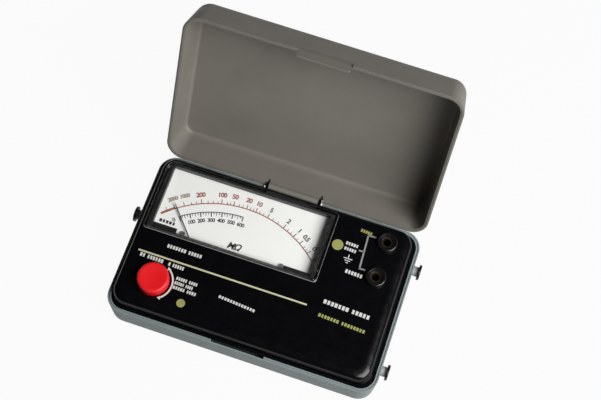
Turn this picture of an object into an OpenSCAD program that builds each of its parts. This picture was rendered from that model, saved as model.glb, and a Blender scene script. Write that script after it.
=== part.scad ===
// Compact analogue insulation tester in a hinged carrying case, shown with its lid open.
// Millimetres. The origin is the middle of the underside, +X is the user's right,
// +Y points to the hinge and +Z is up.

/* [Case] */
// Outer width of the case
case_w = 137; // [132:1:142]
// Outer depth of the case, without the hinge barrel
case_d = 86; // [84:1:90]
// Height of the lower case rim, where the lid closes
rim_z = 18.5; // [18:0.5:20]
// Outer radius of the upright corners
corner_r = 9; // [7:0.5:11]
// Wall thickness at the rim
wall = 1.8; // [1.6:0.1:2]
// Floor thickness
floor_t = 1.8; // [1.6:0.1:2]

/* [Lid] */
// Height of the lid above the rim
lid_h = 19.5; // [17:0.5:22]
// Angle that the lid stands open from closed
lid_open = 116; // [100:1:126]
// Length of the front tongue below the lid rim
tongue_l = 3.8; // [3:0.1:4.5]
// Width of the front tongue and of the hinge tongue
tongue_w = 26; // [22:1:30]

/* [Hinge] */
// Radius of the hinge pin
hinge_pin_r = 1; // [0.8:0.1:1.2]
// Radial play of the lid barrel on its pin
hinge_play = 0.05; // [0.03:0.01:0.08]
// Outer radius of the hinge barrel and its ears
barrel_r = 2.2; // [2:0.1:2.4]

/* [Panel] */
// Height of the raised black panel
panel_z = 23.5; // [23:0.1:24]
// Thickness of the panel
panel_t = 1.8; // [1.6:0.1:1.9]
// Height of the clear meter cover
cover_z = 24.3; // [24:0.1:25]

/* [Test button] */
// Radius of the red button
button_r = 7.75; // [7:0.05:8]
// Button position, left of the middle
button_x = -48.9; // [-50:0.1:-47]
// Button position, in front of the middle
button_y = -23.9; // [-25:0.1:-22]
// Height of the button's face above the panel
button_h = 5.1; // [4.5:0.1:5.5]
// How far the button presses
button_travel = 3; // [2:0.5:3.5]

/* [Terminals] */
// Bore of the test lead sockets
socket_bore = 4; // [4:0.05:4.1]
// Distance between the two sockets
socket_pitch = 19; // [18:0.5:19]
// Position of the sockets, right of the middle
socket_x = 52.3; // [51:0.1:54]
// Position of the middle between the sockets
socket_mid_y = 22; // [21:0.5:23]

/* [Meter] */
// Pivot of the pointer, left of the middle
pivot_x = -19.7; // [-20:0.1:-18]
// Pivot of the pointer, in front of the middle
pivot_y = -21; // [-23:0.1:-21]
// Length of the pointer from its pivot
pointer_l = 53; // [50:0.5:54]
// Resting angle of the pointer, left of straight back
pointer_rest = 41; // [38:1:44]
// Left edge of the dial window
window_x0 = -60.4; // [-61:0.1:-60]
// Right edge of the dial window
window_x1 = 21.7; // [21:0.1:22]
// Front edge of the dial window
window_y0 = 2.2; // [2:0.1:2.5]
// Rear edge of the dial window
window_y1 = 36.4; // [35.8:0.1:36.5]

/* [Batteries] */
// Diameter of one dry cell
cell_d = 14.5; // [13.5:0.1:14.5]
// Length of one dry cell with its nub
cell_l = 50.5; // [49.2:0.1:50.5]

/* [Strap studs] */
// Height of the studs above the table
stud_z = 12; // [11:0.5:13]
// Radius of a stud's stem
stud_r = 2.5; // [2:0.1:2.6]
// Radius of a stud's flat head
stud_head_r = 3.9; // [3.2:0.1:4]

/* [Hidden] */
$fn = 48;
eps = 0.01;

case_grey = "#8a8f8c";
lid_grey = "#66625e";
panel_black = "#17181a";
brass = "#c9a24a";
steel = "#b9bcc0";

hinge_y = case_d / 2;
hinge_z = rim_z;
lid_gap = 0.05;
ledge_drop = 2.2;
ledge_inset = 3.3;
panel_inset = 1.95;
cavity_inset = 4.1;
panel_under = panel_z - panel_t;
ear_t = 1.4;
slit_w = 1.9;
slit_h = 3.8;
notch_half = tongue_w / 2 + slit_w;
ear_x = tongue_w / 2 + slit_w / 2;
notch_z = rim_z - barrel_r - 0.4;
tongue_inset = 0.85;
tongue_t = 0.75;
skin_t = 0.7;
bead_r = 0.3;
stop_w = 6;
stop_x = 44;
stop_reach = 2.8;

screw_x = 60;
screw_front_y = -36;
screw_rear_y = 36.9;
screw_spots = [[-screw_x, screw_front_y], [screw_x, screw_front_y],
               [-screw_x, screw_rear_y], [screw_x, screw_rear_y]];
post_top = 12;
post_r = 2.2;
post_base_r = 2.4;

box_mid_y = 18.2;
cell_gap = 0.7;
row_y = cell_d / 2 + cell_gap / 2;
cells_x0 = -58.5;
cells_z = floor_t + 0.1 + cell_d / 2;
box_x0 = cells_x0 - 2.6;
box_x1 = cells_x0 + 2 * cell_l + 1.8;
box_half_y = cell_d + cell_gap / 2 + 0.2;
box_wall = 1.2;
box_roof = 16.8;
hatch_x0 = box_x0 + 1.5;
hatch_x1 = box_x1 - 1.5;
hatch_half_y = box_half_y - 0.6;
hatch_lip = 1.4;
hatch_play = 0.25;
hatch_ear_l = 9.2;
hatch_ear_half = 5.5;
hatch_ear_t = 1.2;
hatch_screw_x = hatch_x1 + 5.6;

dial_z = 18.6;
dial_t = 0.7;
dial_screw_xs = [-45, 6.4];
dial_screw_y = 4.4;
cover_x0 = -64.2;
cover_x1 = 25.5;
cover_y0 = 0.6;
cover_y1 = 38.9;
cover_seat_z = 19.1;
cover_front_z = 20.6;
cover_wall = 1.5;
cover_play = 0.15;
cover_corner_r = 5;

pointer_z = 19.6;
pointer_t = 0.3;
core_r = 5.6;
core_z0 = 6.5;
core_z1 = 16.5;
coil_in = 6.2;
coil_out = 7.4;
coil_half_t = 2;
coil_z0 = 5.2;
coil_z1 = 17.8;
pole_r0 = 8;
pole_r1 = 10.3;
magnet_r1 = 14.6;
bridge_z0 = 20.4;
bridge_z1 = 21.6;
bridge_half = 17;
pivot_r = 0.45;
jewel_bore_r = 0.5;
jewel_r = 1.6;
frame_z0 = 2.6;
frame_z1 = 3.8;

cap_bottom = 19.5;
cap_top = panel_z + button_h;
guide_play = 0.3;
guide_r = button_r + guide_play;
guide_wall = 1.4;
guide_bottom = 14.5;
slider_z0 = 8.5;
slider_z1 = 14;
slider_half = 4.5;
well_half = 4.75;
well_floor = 3.5;
switch_half = 9.5;
switch_top = 13;
stem_r = 3;
stem_pin_r = 2;
stem_pin_play = 0.06;
stem_bottom = 9.5;
shoulder_gap = 0.05;

collar_r = 5;
collar_h = 2.5;
insulator_r = 4.5;
insulator_bottom = 12;
sleeve_r = 2.9;
sleeve_bottom = 5;
socket_ys = [socket_mid_y - socket_pitch / 2, socket_mid_y + socket_pitch / 2];

board_z = 4.4;
board_t = 1.6;
board_top = board_z + board_t;
board_x0 = 1;
board_x1 = 64;
board_y0 = -38.8;
board_y1 = -0.2;
board_spots = [[4.5, -35.5], [4.5, -4], [60, -4], [40, -35.5]];

stud_spots = [[1, 26.5], [1, -27.5], [-1, 9.6]];
stud_reach = 3.8;
stud_head_t = 1.3;

// A rectangle with true round corners
module rounded(w, d, r) {
    square([w - 2 * r, d], center = true);
    square([w, d - 2 * r], center = true);
    for (sx = [-1, 1], sy = [-1, 1])
        translate([sx * (w / 2 - r), sy * (d / 2 - r)]) circle(r);
}

// The case outline drawn in by an inset, as a slab from z0 up
module outline_slab(inset, z0, h) {
    translate([0, 0, z0]) linear_extrude(h)
        rounded(case_w - 2 * inset, case_d - 2 * inset, corner_r - min(inset, corner_r - 2) * 0.8);
}

// A smooth moulded form through a list of [height, inset] stations
module moulded(stations) {
    hull() for (s = stations) outline_slab(s[1], s[0], eps, $fn = 40);
}

// A box given by its two corners
module block(a, b) {
    translate(a) cube(b - a);
}

// Turns the lid and what rides on it from closed to its open resting angle
module opened() {
    translate([0, hinge_y, hinge_z]) rotate([-lid_open, 0, 0])
        translate([0, -hinge_y, -hinge_z]) children();
}

// A cylinder along X, centred on x = 0
module x_rod(r, l, y, z) {
    translate([0, y, z]) rotate([0, 90, 0]) cylinder(r = r, h = l, center = true);
}

// A coil spring of round wire, its radius running from r0 to r1 over the height
module coil_spring(r0, r1, h, turns, wire_r) {
    per_turn = 14;
    sides = 6;
    steps = turns * per_turn;
    rings = [for (i = [0:steps])
        let (a = 360 * i / per_turn, r = r0 + (r1 - r0) * i / steps)
        for (k = [0:sides - 1])
            let (b = 360 * k / sides, q = r + wire_r * cos(b))
            [q * cos(a), q * sin(a), wire_r + (h - 2 * wire_r) * i / steps + wire_r * sin(b)]];
    bands = [for (i = [0:steps - 1], k = [0:sides - 1])
        let (n = (k + 1) % sides)
        [i * sides + k, i * sides + n, (i + 1) * sides + n, (i + 1) * sides + k]];
    ends = [[for (k = [sides - 1:-1:0]) k],
            [for (k = [0:sides - 1]) steps * sides + k]];
    polyhedron(rings, concat(bands, ends), convexity = 6);
}

// A countersunk screw standing on its head at z = 0, with its slot open below
module screw(head_r, shank_r, l) {
    difference() {
        union() {
            cylinder(r = head_r, h = 1.2);
            cylinder(r = shank_r, h = l);
        }
        translate([0, 0, 0.2]) cube([2 * head_r, 0.6, 0.8], center = true);
    }
}

// The grey tray, with its rim groove, latch pocket, screw posts and lid stops
module lower_case() {
    color(case_grey) {
        difference() {
            moulded([[0, 2.3], [0.9, 1.3], [2.4, 0.8], [rim_z - eps, 0]]);
            moulded([[floor_t, 4.6], [floor_t + 2, 3.5], [rim_z - ledge_drop, ledge_inset]]);
            outline_slab(wall, rim_z - ledge_drop - eps, ledge_drop + 1);
            difference() {
                outline_slab(0.75, rim_z - 0.4, 1);
                outline_slab(1.2, rim_z - 0.5, 1.2);
            }
            block([-tongue_w / 2 - 0.4, -case_d / 2 + skin_t, rim_z - tongue_l - 0.4],
                  [tongue_w / 2 + 0.4, -case_d / 2 + panel_inset, rim_z + 1]);
            x_rod(bead_r + 0.25, tongue_w - 5, -case_d / 2 + panel_inset, rim_z - tongue_l + 1);
            block([-ear_x - ear_t, case_d / 2 - 4.5, notch_z],
                  [ear_x + ear_t, case_d / 2 + 1, rim_z + 1]);
            block([hatch_x0, box_mid_y - hatch_half_y, -1],
                  [hatch_x1, box_mid_y + hatch_half_y, floor_t + 1]);
            block([hatch_x1 - 1, box_mid_y - hatch_ear_half, -1],
                  [hatch_x1 + hatch_ear_l, box_mid_y + hatch_ear_half, hatch_ear_t]);
            translate([hatch_screw_x, box_mid_y, -1]) cylinder(r = 1.1, h = 5);
            for (p = screw_spots) translate([p[0], p[1], -eps]) {
                cylinder(r = 1.4, h = 5);
                cylinder(r = 2.7, h = 1.52);
            }
            for (s = stud_spots)
                translate([s[0] * (case_w / 2 - 5), s[1], stud_z]) rotate([0, s[0] * 90, 0])
                    cylinder(r = stud_r, h = 8);
        }
        for (p = screw_spots) translate([p[0], p[1], 0]) difference() {
            translate([0, 0, 1.6]) cylinder(r = post_base_r, h = post_top - 1.6);
            translate([0, 0, 1]) cylinder(r = 1.4, h = post_top);
        }
        translate([hatch_screw_x, box_mid_y, hatch_ear_t]) difference() {
            cylinder(r = 2.3, h = 6.5);
            translate([0, 0, -1]) cylinder(r = 1.1, h = 6);
        }
        for (p = board_spots) translate([p[0], p[1], floor_t - 0.2])
            cylinder(r = 2.4, h = board_z - floor_t + 0.2);
        for (sx = [-1, 1]) translate([sx * stop_x - stop_w / 2, 0, 0]) lid_stop();
        switch_posts();
    }
}

// A gusset on the rear wall that the open lid leans on
module lid_stop() {
    lean = lid_open - 90;
    tip_y = hinge_y + stop_reach * cos(lean);
    tip_z = hinge_z - 0.35 - stop_reach * sin(lean);
    rotate([90, 0, 90]) linear_extrude(stop_w) polygon([
        [hinge_y - 0.5, hinge_z - 0.4], [hinge_y, hinge_z - 0.4], [tip_y, tip_z],
        [tip_y, tip_z - 0.8], [hinge_y - 0.6, hinge_z - 8]]);
}

// Four short locating posts round the switch
module switch_posts() {
    for (sx = [-1, 1], sy = [-1, 1])
        translate([button_x + sx * (switch_half - 1.5), button_y + sy * (switch_half + 1.6),
                   floor_t - 0.2])
            cylinder(r = 1.4, h = 3);
}

// The hatch in the underside that closes the battery space, with a tab and a screw ear
module battery_cover() {
    color(case_grey) difference() {
        union() {
            block([hatch_x0 + hatch_play, box_mid_y - hatch_half_y + hatch_play, 0],
                  [hatch_x1 - hatch_play, box_mid_y + hatch_half_y - hatch_play, floor_t]);
            block([hatch_x0 - hatch_lip, box_mid_y - 2.2, floor_t],
                  [hatch_x0 + 3, box_mid_y + 2.2, floor_t + 1]);
            block([hatch_x1 - 1, box_mid_y - hatch_ear_half + hatch_play, 0],
                  [hatch_x1 + hatch_ear_l - hatch_play, box_mid_y + hatch_ear_half - hatch_play,
                   hatch_ear_t]);
        }
        translate([hatch_screw_x, box_mid_y, -eps]) {
            cylinder(r = 2.3, h = 0.7);
            cylinder(r = 1.25, h = 4);
        }
        for (i = [0:5]) translate([hatch_x0 + 6 + 2.4 * i, box_mid_y - 8, -eps])
            cube([1.1, 16, 0.4]);
    }
}

// The screw that holds the hatch
module battery_cover_screw() {
    color(steel) translate([hatch_screw_x, box_mid_y, 0.1]) difference() {
        union() {
            cylinder(r = 2.1, h = 0.55);
            cylinder(r = 1.1, h = 5.6);
        }
        translate([0, 0, 0.05]) cube([6, 0.7, 0.5], center = true);
    }
}

// Four screws from below that hold the upper case down
module case_screws() {
    color(steel) for (p = screw_spots) translate([p[0], p[1], 0.3]) screw(2.4, 1.2, 15.5);
}

// The inverted moulded box over the cells
module battery_box() {
    color("#2a2c2e") difference() {
        block([box_x0 - box_wall, box_mid_y - box_half_y - box_wall, floor_t],
              [box_x1 + box_wall, box_mid_y + box_half_y + box_wall, dial_z - dial_t]);
        block([box_x0, box_mid_y - box_half_y, floor_t - 1],
              [box_x1, box_mid_y + box_half_y, box_roof]);
        for (x = dial_screw_xs) translate([x, dial_screw_y, box_roof - 1])
            cylinder(r = 0.7, h = 3);
    }
}

// One dry cell, its nub towards +X
module dry_cell() {
    nub_l = 1.2;
    rotate([0, 90, 0]) {
        cylinder(r = cell_d / 2 - 0.15, h = cell_l - nub_l);
        translate([0, 0, 0.6]) cylinder(r = cell_d / 2, h = cell_l - nub_l - 1.4);
        cylinder(r = 2.75, h = cell_l);
    }
}

// Cells 1 and 2 share the front row, 3 and 4 the rear row, which points the other way
module battery_cell(i) {
    front = i < 3;
    place = (i - 1) % 2;
    y = box_mid_y + (front ? -row_y : row_y);
    color(i % 2 == 0 ? "#3c4a58" : "#44525f")
    if (front) translate([cells_x0 + place * cell_l, y, cells_z]) dry_cell();
    else translate([cells_x0 + (place + 1) * cell_l, y, cells_z]) rotate([0, 0, 180]) dry_cell();
}

// The wire springs at the negative end of each row
module battery_springs() {
    spring_l = 2.4;
    color(steel) {
        translate([box_x0 + 0.1, box_mid_y - row_y, cells_z]) rotate([0, 90, 0])
            coil_spring(4.6, 2.6, spring_l, 3, 0.35);
        translate([box_x1 - 0.05, box_mid_y + row_y, cells_z]) rotate([0, -90, 0])
            coil_spring(4.2, 2.6, 1.7, 2, 0.35);
    }
}

// The sprung contact plates at the positive end of each row
module battery_plates() {
    color(steel) {
        translate([0, box_mid_y - row_y, cells_z]) {
            block([box_x1 - 1.7, -5, -5], [box_x1 - 1.2, 5, 5]);
            block([box_x1 - 1.2, -2, 3], [box_x1, 2, 5]);
        }
        translate([0, box_mid_y + row_y, cells_z]) {
            block([cells_x0 - 0.6, -5, -5], [cells_x0 - 0.1, 5, 5]);
            block([box_x0, -2, 3], [cells_x0 - 0.6, 2, 5]);
        }
    }
}

// The black moulding with the raised panel, the meter opening and the hinge ears
module upper_case() {
    color(panel_black) {
        difference() {
            union() {
                outline_slab(panel_inset, rim_z - ledge_drop, ledge_drop - 0.1, $fn = 40);
                raised([[rim_z - 0.6, panel_inset + 0.25, 1.2], [panel_z - 3.2, panel_inset + 0.4, 1.4],
                        [panel_z - 1.9, panel_inset + 0.5, 1.9], [panel_z - 1, panel_inset + 0.75, 2.4],
                        [panel_z - 0.5, panel_inset + 1.2, 3], [panel_z - 0.2, panel_inset + 1.7, 3.7],
                        [panel_z - eps, panel_inset + 2.6, 4.4]]);
            }
            outline_slab(cavity_inset, 10, rim_z - 11.3);
            raised([[rim_z - 2, cavity_inset + 0.4, 0.6], [panel_under - 1.3, cavity_inset + 0.4, 0.9],
                    [panel_under - 0.5, cavity_inset + 0.4, 1.9],
                    [panel_under - eps, cavity_inset + 0.4, 3.1]]);
            translate([0, 0, cover_seat_z]) linear_extrude(panel_z) cover_plan(cover_play);
            translate([button_x, button_y, 10]) cylinder(r = guide_r, h = 20);
            for (y = socket_ys) translate([socket_x, y, 10]) cylinder(r = insulator_r + eps, h = 20);
            hinge_notch();
        }
        cover_seat();
        screw_bosses();
        hinge_ears();
        block([-notch_half - 1, case_d / 2 - 6.4, rim_z - 2],
              [notch_half + 1, case_d / 2 - 5.2, dial_z - dial_t - 0.1]);
        block([-notch_half - 1, case_d / 2 - 5.65, rim_z - 2],
              [notch_half + 1, case_d / 2 - 5.2, cover_seat_z]);
    }
}

// The raised panel's form from [height, inset, more inset to the front and right] stations:
// a broad soft shoulder on the user's side and a narrow one behind and beside the meter
module raised(stations) {
    hull() for (s = stations) translate([-s[2] / 2, s[2] / 2, s[0]]) linear_extrude(eps, $fn = 40)
        rounded(case_w - 2 * s[1] - s[2], case_d - 2 * s[1] - s[2],
                corner_r - 0.8 * min(s[1], corner_r - 2) - 0.2 * s[2]);
}

// The room in the upper case for the lid's barrel
module hinge_notch() {
    block([-notch_half, case_d / 2 - 5.2, 10], [notch_half, case_d / 2, rim_z + barrel_r + 0.3]);
}

// The ledge that the meter cover stands on, open at the front for the pointer
module cover_seat() {
    left = -case_w / 2;
    right = cover_x1 - cover_wall - 0.1;
    rear = case_d / 2;
    seat_z = cover_seat_z - 1.2;
    intersection() {
        outline_slab(cavity_inset - 0.4, seat_z - 1, 10);
        difference() {
            union() {
                block([left, 4, seat_z], [cover_x0 + cover_wall, rear, cover_seat_z]);
                block([left, cover_y1 - cover_wall, seat_z], [cover_x1 + 1.5, rear, cover_seat_z]);
                block([right, 4, seat_z], [cover_x1 + 1.5, rear, cover_seat_z]);
                block([cover_x1 + cover_play + 0.05, 0.8, seat_z],
                      [cover_x1 + 1.5, rear, panel_under + eps]);
            }
            hinge_notch();
        }
    }
}

// The bosses that the case screws bite into
module screw_bosses() {
    for (p = screw_spots) {
        top = p[1] > 0 ? cover_seat_z - 1.2 : panel_under + eps;
        difference() {
            union() {
                translate([p[0], p[1], post_top]) cylinder(r = post_r, h = top - post_top);
                if (p[1] > 0) block([p[0] - 1.2, p[1], post_top + 5],
                                    [p[0] + 1.2, case_d / 2 - cavity_inset + 0.3, top]);
            }
            translate([p[0], p[1], post_top - eps]) cylinder(r = 1.2, h = 4);
        }
    }
}

// Two thin ears that hold the hinge pin in the slits beside the lid's tongue
module hinge_ears() {
    for (sx = [-1, 1]) difference() {
        union() {
            translate([sx * ear_x, 0, 0]) x_rod(barrel_r, ear_t, hinge_y, hinge_z);
            block([sx * ear_x - ear_t / 2, hinge_y - 5.4, rim_z - 2.1],
                  [sx * ear_x + ear_t / 2, hinge_y, rim_z]);
        }
        translate([sx * ear_x, 0, 0]) x_rod(hinge_pin_r, ear_t + 1, hinge_y, hinge_z);
    }
}

// The outline of the meter cover drawn out by g, its outer rear corner rounded
module cover_plan(g) {
    r = cover_corner_r + g;
    difference() {
        translate([cover_x0 - g, cover_y0 - g])
            square([cover_x1 - cover_x0 + 2 * g, cover_y1 - cover_y0 + 2 * g]);
        translate([cover_x0 - g, cover_y1 + g - r]) difference() {
            translate([-1, 0]) square([r + 1, r + 1]);
            translate([r, 0]) circle(r);
        }
    }
}

// The clear moulding over the dial
module meter_cover() {
    color("#d8e6ea", 0.35) difference() {
        hull() {
            translate([0, 0, cover_seat_z])
                linear_extrude(cover_z - 0.9 - cover_seat_z) cover_plan(0, $fn = 32);
            translate([0, 0, cover_z - 0.3]) linear_extrude(eps) cover_plan(-0.3, $fn = 32);
            translate([0, 0, cover_z - eps]) linear_extrude(eps) cover_plan(-0.9, $fn = 32);
        }
        translate([0, 0, cover_seat_z - 1]) linear_extrude(cover_z - cover_wall - cover_seat_z + 1)
            intersection() {
                cover_plan(-cover_wall);
                translate([cover_x0, cover_y0 + cover_wall]) square([200, 200]);
            }
        block([window_x0 - 1.2, cover_y0 - 1, cover_seat_z - 1],
              [window_x1 + 1.2, cover_y0 + cover_wall + 1, cover_front_z]);
        block([-notch_half, case_d / 2 - 5.2, cover_seat_z - 1],
              [notch_half, case_d / 2, rim_z + barrel_r + 0.4]);
    }
}

// The black frame inside the cover that masks the edge of the dial
module dial_bezel() {
    top = cover_z - cover_wall - 0.05;
    color(panel_black) difference() {
        translate([0, 0, cover_seat_z + 0.05]) linear_extrude(top - cover_seat_z - 0.05)
            cover_plan(-cover_wall - 0.1);
        block([window_x0, window_y0 + 0.4, cover_seat_z - 1], [window_x1, window_y1, top + 1]);
        block([window_x0 - 1, cover_y0, cover_seat_z - 1], [window_x1 + 1, window_y0 + 1, cover_front_z]);
    }
}

// The white scale plate, cut away round the movement
module dial_plate() {
    color("#f2f1ec") difference() {
        block([window_x0 - 2, -5.5, dial_z - dial_t],
              [window_x1 + 2, cover_y1 - cover_wall - 0.3, dial_z]);
        translate([pivot_x, pivot_y, dial_z - 2]) cylinder(r = 18.5, h = 4);
        for (x = dial_screw_xs) translate([x, dial_screw_y, dial_z - 2]) cylinder(r = 0.8, h = 4);
    }
}

// Two small screws that hold the scale plate on the battery box
module dial_screws() {
    color(steel) for (x = dial_screw_xs) translate([x, dial_screw_y, 0]) difference() {
        union() {
            translate([0, 0, box_roof + 0.1]) cylinder(r = 0.7, h = dial_z - box_roof);
            translate([0, 0, dial_z]) cylinder(r = 1.4, h = 0.6);
        }
        translate([0, 0, dial_z + 0.6]) cube([4, 0.4, 0.5], center = true);
    }
}

// Places a part of the movement on the pointer's axis
module at_pivot() {
    translate([pivot_x, pivot_y, 0]) children();
}

// Turns a part of the movement to the resting angle of the pointer
module at_rest_angle() {
    at_pivot() rotate([0, 0, pointer_rest]) children();
}

// The base of the movement, with the two posts that carry the bridge
module movement_frame() {
    color("#8d8f92") at_pivot() {
        difference() {
            union() {
                translate([0, 0, frame_z0]) cylinder(r = magnet_r1, h = frame_z1 - frame_z0);
                block([-bridge_half - 2, -4, frame_z0], [bridge_half + 2, 4, frame_z1]);
                for (a = [45:90:315]) rotate([0, 0, a]) translate([12, 0, floor_t])
                    cylinder(r = 1.6, h = 1);
                difference() {
                    translate([0, 0, frame_z1 - eps])
                        cylinder(r = magnet_r1, h = core_z0 - frame_z1 + eps);
                    translate([0, 0, frame_z1 - 1]) cylinder(r = pole_r0 + 1, h = 6);
                }
            }
            translate([0, 0, frame_z0 - 1]) cylinder(r = jewel_r, h = 4);
        }
        for (sx = [-1, 1]) translate([sx * bridge_half, 0, frame_z1 - eps])
            cylinder(r = 1.8, h = bridge_z0 - frame_z1 + eps);
    }
}

// The bar over the movement that holds the upper bearing
module movement_bridge() {
    color("#a3a5a8") at_pivot() difference() {
        union() {
            block([-bridge_half, -2.5, bridge_z0], [bridge_half, 2.5, bridge_z1]);
            for (sx = [-1, 1]) translate([sx * bridge_half, 0, bridge_z0])
                cylinder(r = 2.5, h = bridge_z1 - bridge_z0);
        }
        translate([0, 0, bridge_z0 - 1]) cylinder(r = jewel_r, h = 4);
    }
}

// The ring magnet of the movement
module magnet_ring() {
    color("#4b4d50") at_pivot() difference() {
        translate([0, 0, core_z0]) cylinder(r = magnet_r1, h = core_z1 - core_z0);
        translate([0, 0, core_z0 - 1]) cylinder(r = pole_r1, h = core_z1 - core_z0 + 2);
    }
}

// The two curved soft iron poles inside the magnet
module pole_pieces() {
    gap = 5.5;
    color("#7b7d80") at_pivot() difference() {
        translate([0, 0, core_z0]) cylinder(r = pole_r1, h = core_z1 - core_z0);
        translate([0, 0, core_z0 - 1]) cylinder(r = pole_r0, h = core_z1 - core_z0 + 2);
        block([-gap, -pole_r1 - 1, core_z0 - 1], [gap, pole_r1 + 1, core_z1 + 1]);
    }
}

// The fixed iron core inside the coil, held by two arms
module iron_core() {
    color("#7b7d80") at_pivot() {
        translate([0, 0, core_z0]) cylinder(r = core_r, h = core_z1 - core_z0);
        difference() {
            block([-1.5, -pole_r1 - 0.5, 10], [1.5, pole_r1 + 0.5, 13]);
            difference() {
                translate([0, 0, 9]) cylinder(r = 14, h = 6);
                translate([0, 0, 8]) cylinder(r = pole_r1, h = 8);
            }
        }
    }
}

// The upper and lower jewel bearings
module jewel_bearings() {
    color("#b03a4a") at_pivot() {
        difference() {
            translate([0, 0, bridge_z0 - 0.2]) cylinder(r = jewel_r, h = bridge_z1 - bridge_z0 + 0.2);
            translate([0, 0, bridge_z0 - 1]) cylinder(r = jewel_bore_r, h = 1.7);
        }
        difference() {
            translate([0, 0, frame_z0]) cylinder(r = jewel_r, h = 1.9);
            translate([0, 0, frame_z0 + 0.8]) cylinder(r = jewel_bore_r, h = 3);
        }
    }
}

// The wound coil that turns round the core
module moving_coil() {
    color("#a8622e") at_rest_angle() difference() {
        block([-coil_out, -coil_half_t, coil_z0], [coil_out, coil_half_t, coil_z1]);
        block([-coil_in, -coil_half_t - 1, coil_z0 + 0.8], [coil_in, coil_half_t + 1, coil_z1 - 0.8]);
    }
}

// The pivots that carry the coil in its jewels
module coil_pivots() {
    color(steel) at_pivot() {
        translate([0, 0, coil_z1]) cylinder(r = 0.8, h = bridge_z0 - 0.35 - coil_z1);
        translate([0, 0, coil_z1]) cylinder(r = pivot_r, h = bridge_z0 + 0.6 - coil_z1);
        translate([0, 0, frame_z0 + 2.05]) cylinder(r = 0.8, h = coil_z0 - frame_z0 - 2.05);
        translate([0, 0, frame_z0 + 0.9]) cylinder(r = pivot_r, h = coil_z0 - frame_z0 - 0.9);
    }
}

// The needle with its hub, tail and balance weight
module pointer() {
    needle_w = 0.5;
    tail_l = 8;
    color("#1b1b1d") at_rest_angle() difference() {
        union() {
            translate([0, 0, pointer_z]) linear_extrude(pointer_t) polygon([
                [-1, 0], [-needle_w, 14], [-needle_w / 2, 20], [-needle_w / 2, pointer_l - 3],
                [0, pointer_l], [needle_w / 2, pointer_l - 3], [needle_w / 2, 20], [needle_w, 14], [1, 0],
                [0.8, -tail_l], [-0.8, -tail_l]]);
            translate([0, 0, pointer_z - 0.3]) cylinder(r = 1.6, h = pointer_t + 0.6);
            translate([0, -tail_l + 1, pointer_z - 0.4]) cylinder(r = 1.3, h = pointer_t + 0.7);
        }
        translate([0, 0, pointer_z - 1]) cylinder(r = 0.8, h = 3);
    }
}

// The flat spiral that brings the pointer back
module hairspring() {
    turns = 3;
    step = 0.6;
    band = 0.16;
    inner = [for (a = [0:12:360 * turns]) (1.5 + step * a / 360) * [cos(a), sin(a)]];
    outer = [for (a = [360 * turns:-12:0]) (1.5 + band + step * a / 360) * [cos(a), sin(a)]];
    color(brass) at_pivot() translate([0, 0, 18.5]) linear_extrude(0.5) polygon(concat(inner, outer));
}

// The red cap with its rounded edge and shallow dished face
module test_button() {
    edge = 1.1;
    dish_r = 60;
    color("#d8232a") translate([button_x, button_y, 0]) difference() {
        rotate_extrude($fn = 96) {
            difference() {
                union() {
                    translate([0, cap_bottom]) square([button_r, cap_top - cap_bottom - edge]);
                    translate([0, cap_bottom]) square([button_r - edge, cap_top - cap_bottom]);
                    translate([button_r - edge, cap_top - edge]) circle(edge, $fn = 40);
                }
                translate([stem_r, cap_bottom - 1]) square([button_r - 1.6 - stem_r, 6.5]);
                translate([-1, cap_bottom - 1]) square([stem_r + 1, 3]);
            }
        }
        translate([0, 0, cap_top + dish_r - 0.35]) sphere(r = dish_r, $fn = 160);
    }
}

// The stem under the cap, which turns in the slider
module button_stem() {
    color("#2b2b2d") translate([button_x, button_y, 0]) {
        translate([0, 0, slider_z1 + shoulder_gap])
            cylinder(r = stem_r, h = cap_bottom + 2 - slider_z1 - shoulder_gap);
        translate([0, 0, stem_bottom]) cylinder(r = stem_pin_r, h = cap_bottom - stem_bottom);
    }
}

// The square slider that presses the contacts and doesn't turn
module button_slider() {
    color("#d9d4c4") translate([button_x, button_y, 0]) difference() {
        block([-slider_half, -slider_half, slider_z0], [slider_half, slider_half, slider_z1]);
        translate([0, 0, stem_bottom - 0.3]) cylinder(r = stem_pin_r + stem_pin_play, h = 8);
    }
}

// The sleeve under the panel that guides the cap
module button_guide() {
    color(panel_black) translate([button_x, button_y, guide_bottom]) difference() {
        cylinder(r = guide_r + guide_wall, h = panel_under - guide_bottom);
        translate([0, 0, -1]) cylinder(r = guide_r, h = 20);
    }
}

// The spring that lifts the slider and the cap
module button_spring() {
    color(steel) translate([button_x, button_y, well_floor])
        coil_spring(3.2, 3.2, slider_z0 - well_floor, 4, 0.3);
}

// The switch body with the well that the slider runs in
module switch_base() {
    color("#c7b68d") translate([button_x, button_y, 0]) difference() {
        block([-switch_half, -switch_half, floor_t], [switch_half, switch_half, switch_top]);
        block([-well_half, -well_half, well_floor], [well_half, well_half, switch_top + 1]);
    }
}

// The leaf contacts on two sides of the switch
module switch_contacts() {
    color(brass) translate([button_x, button_y, 0]) for (sx = [-1, 1], y = [-6, 0, 6])
        block([sx > 0 ? switch_half : -switch_half - 0.5, y - 1.2, 3.5],
              [sx > 0 ? switch_half + 0.5 : -switch_half, y + 1.2, 12]);
}

// A black terminal with a raised collar, at place i
module terminal(i) {
    lead_in = 0.6;
    color(panel_black) translate([socket_x, socket_ys[i], 0]) difference() {
        union() {
            translate([0, 0, panel_z]) cylinder(r = collar_r, h = collar_h - 0.5);
            translate([0, 0, panel_z]) cylinder(r = collar_r - 0.5, h = collar_h);
            translate([0, 0, insulator_bottom]) cylinder(r = insulator_r, h = panel_z - insulator_bottom);
        }
        translate([0, 0, insulator_bottom - 1]) cylinder(r = sleeve_r, h = 30);
        translate([0, 0, panel_z + collar_h - lead_in]) cylinder(r = sleeve_r + 1, h = 2);
    }
}

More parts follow.
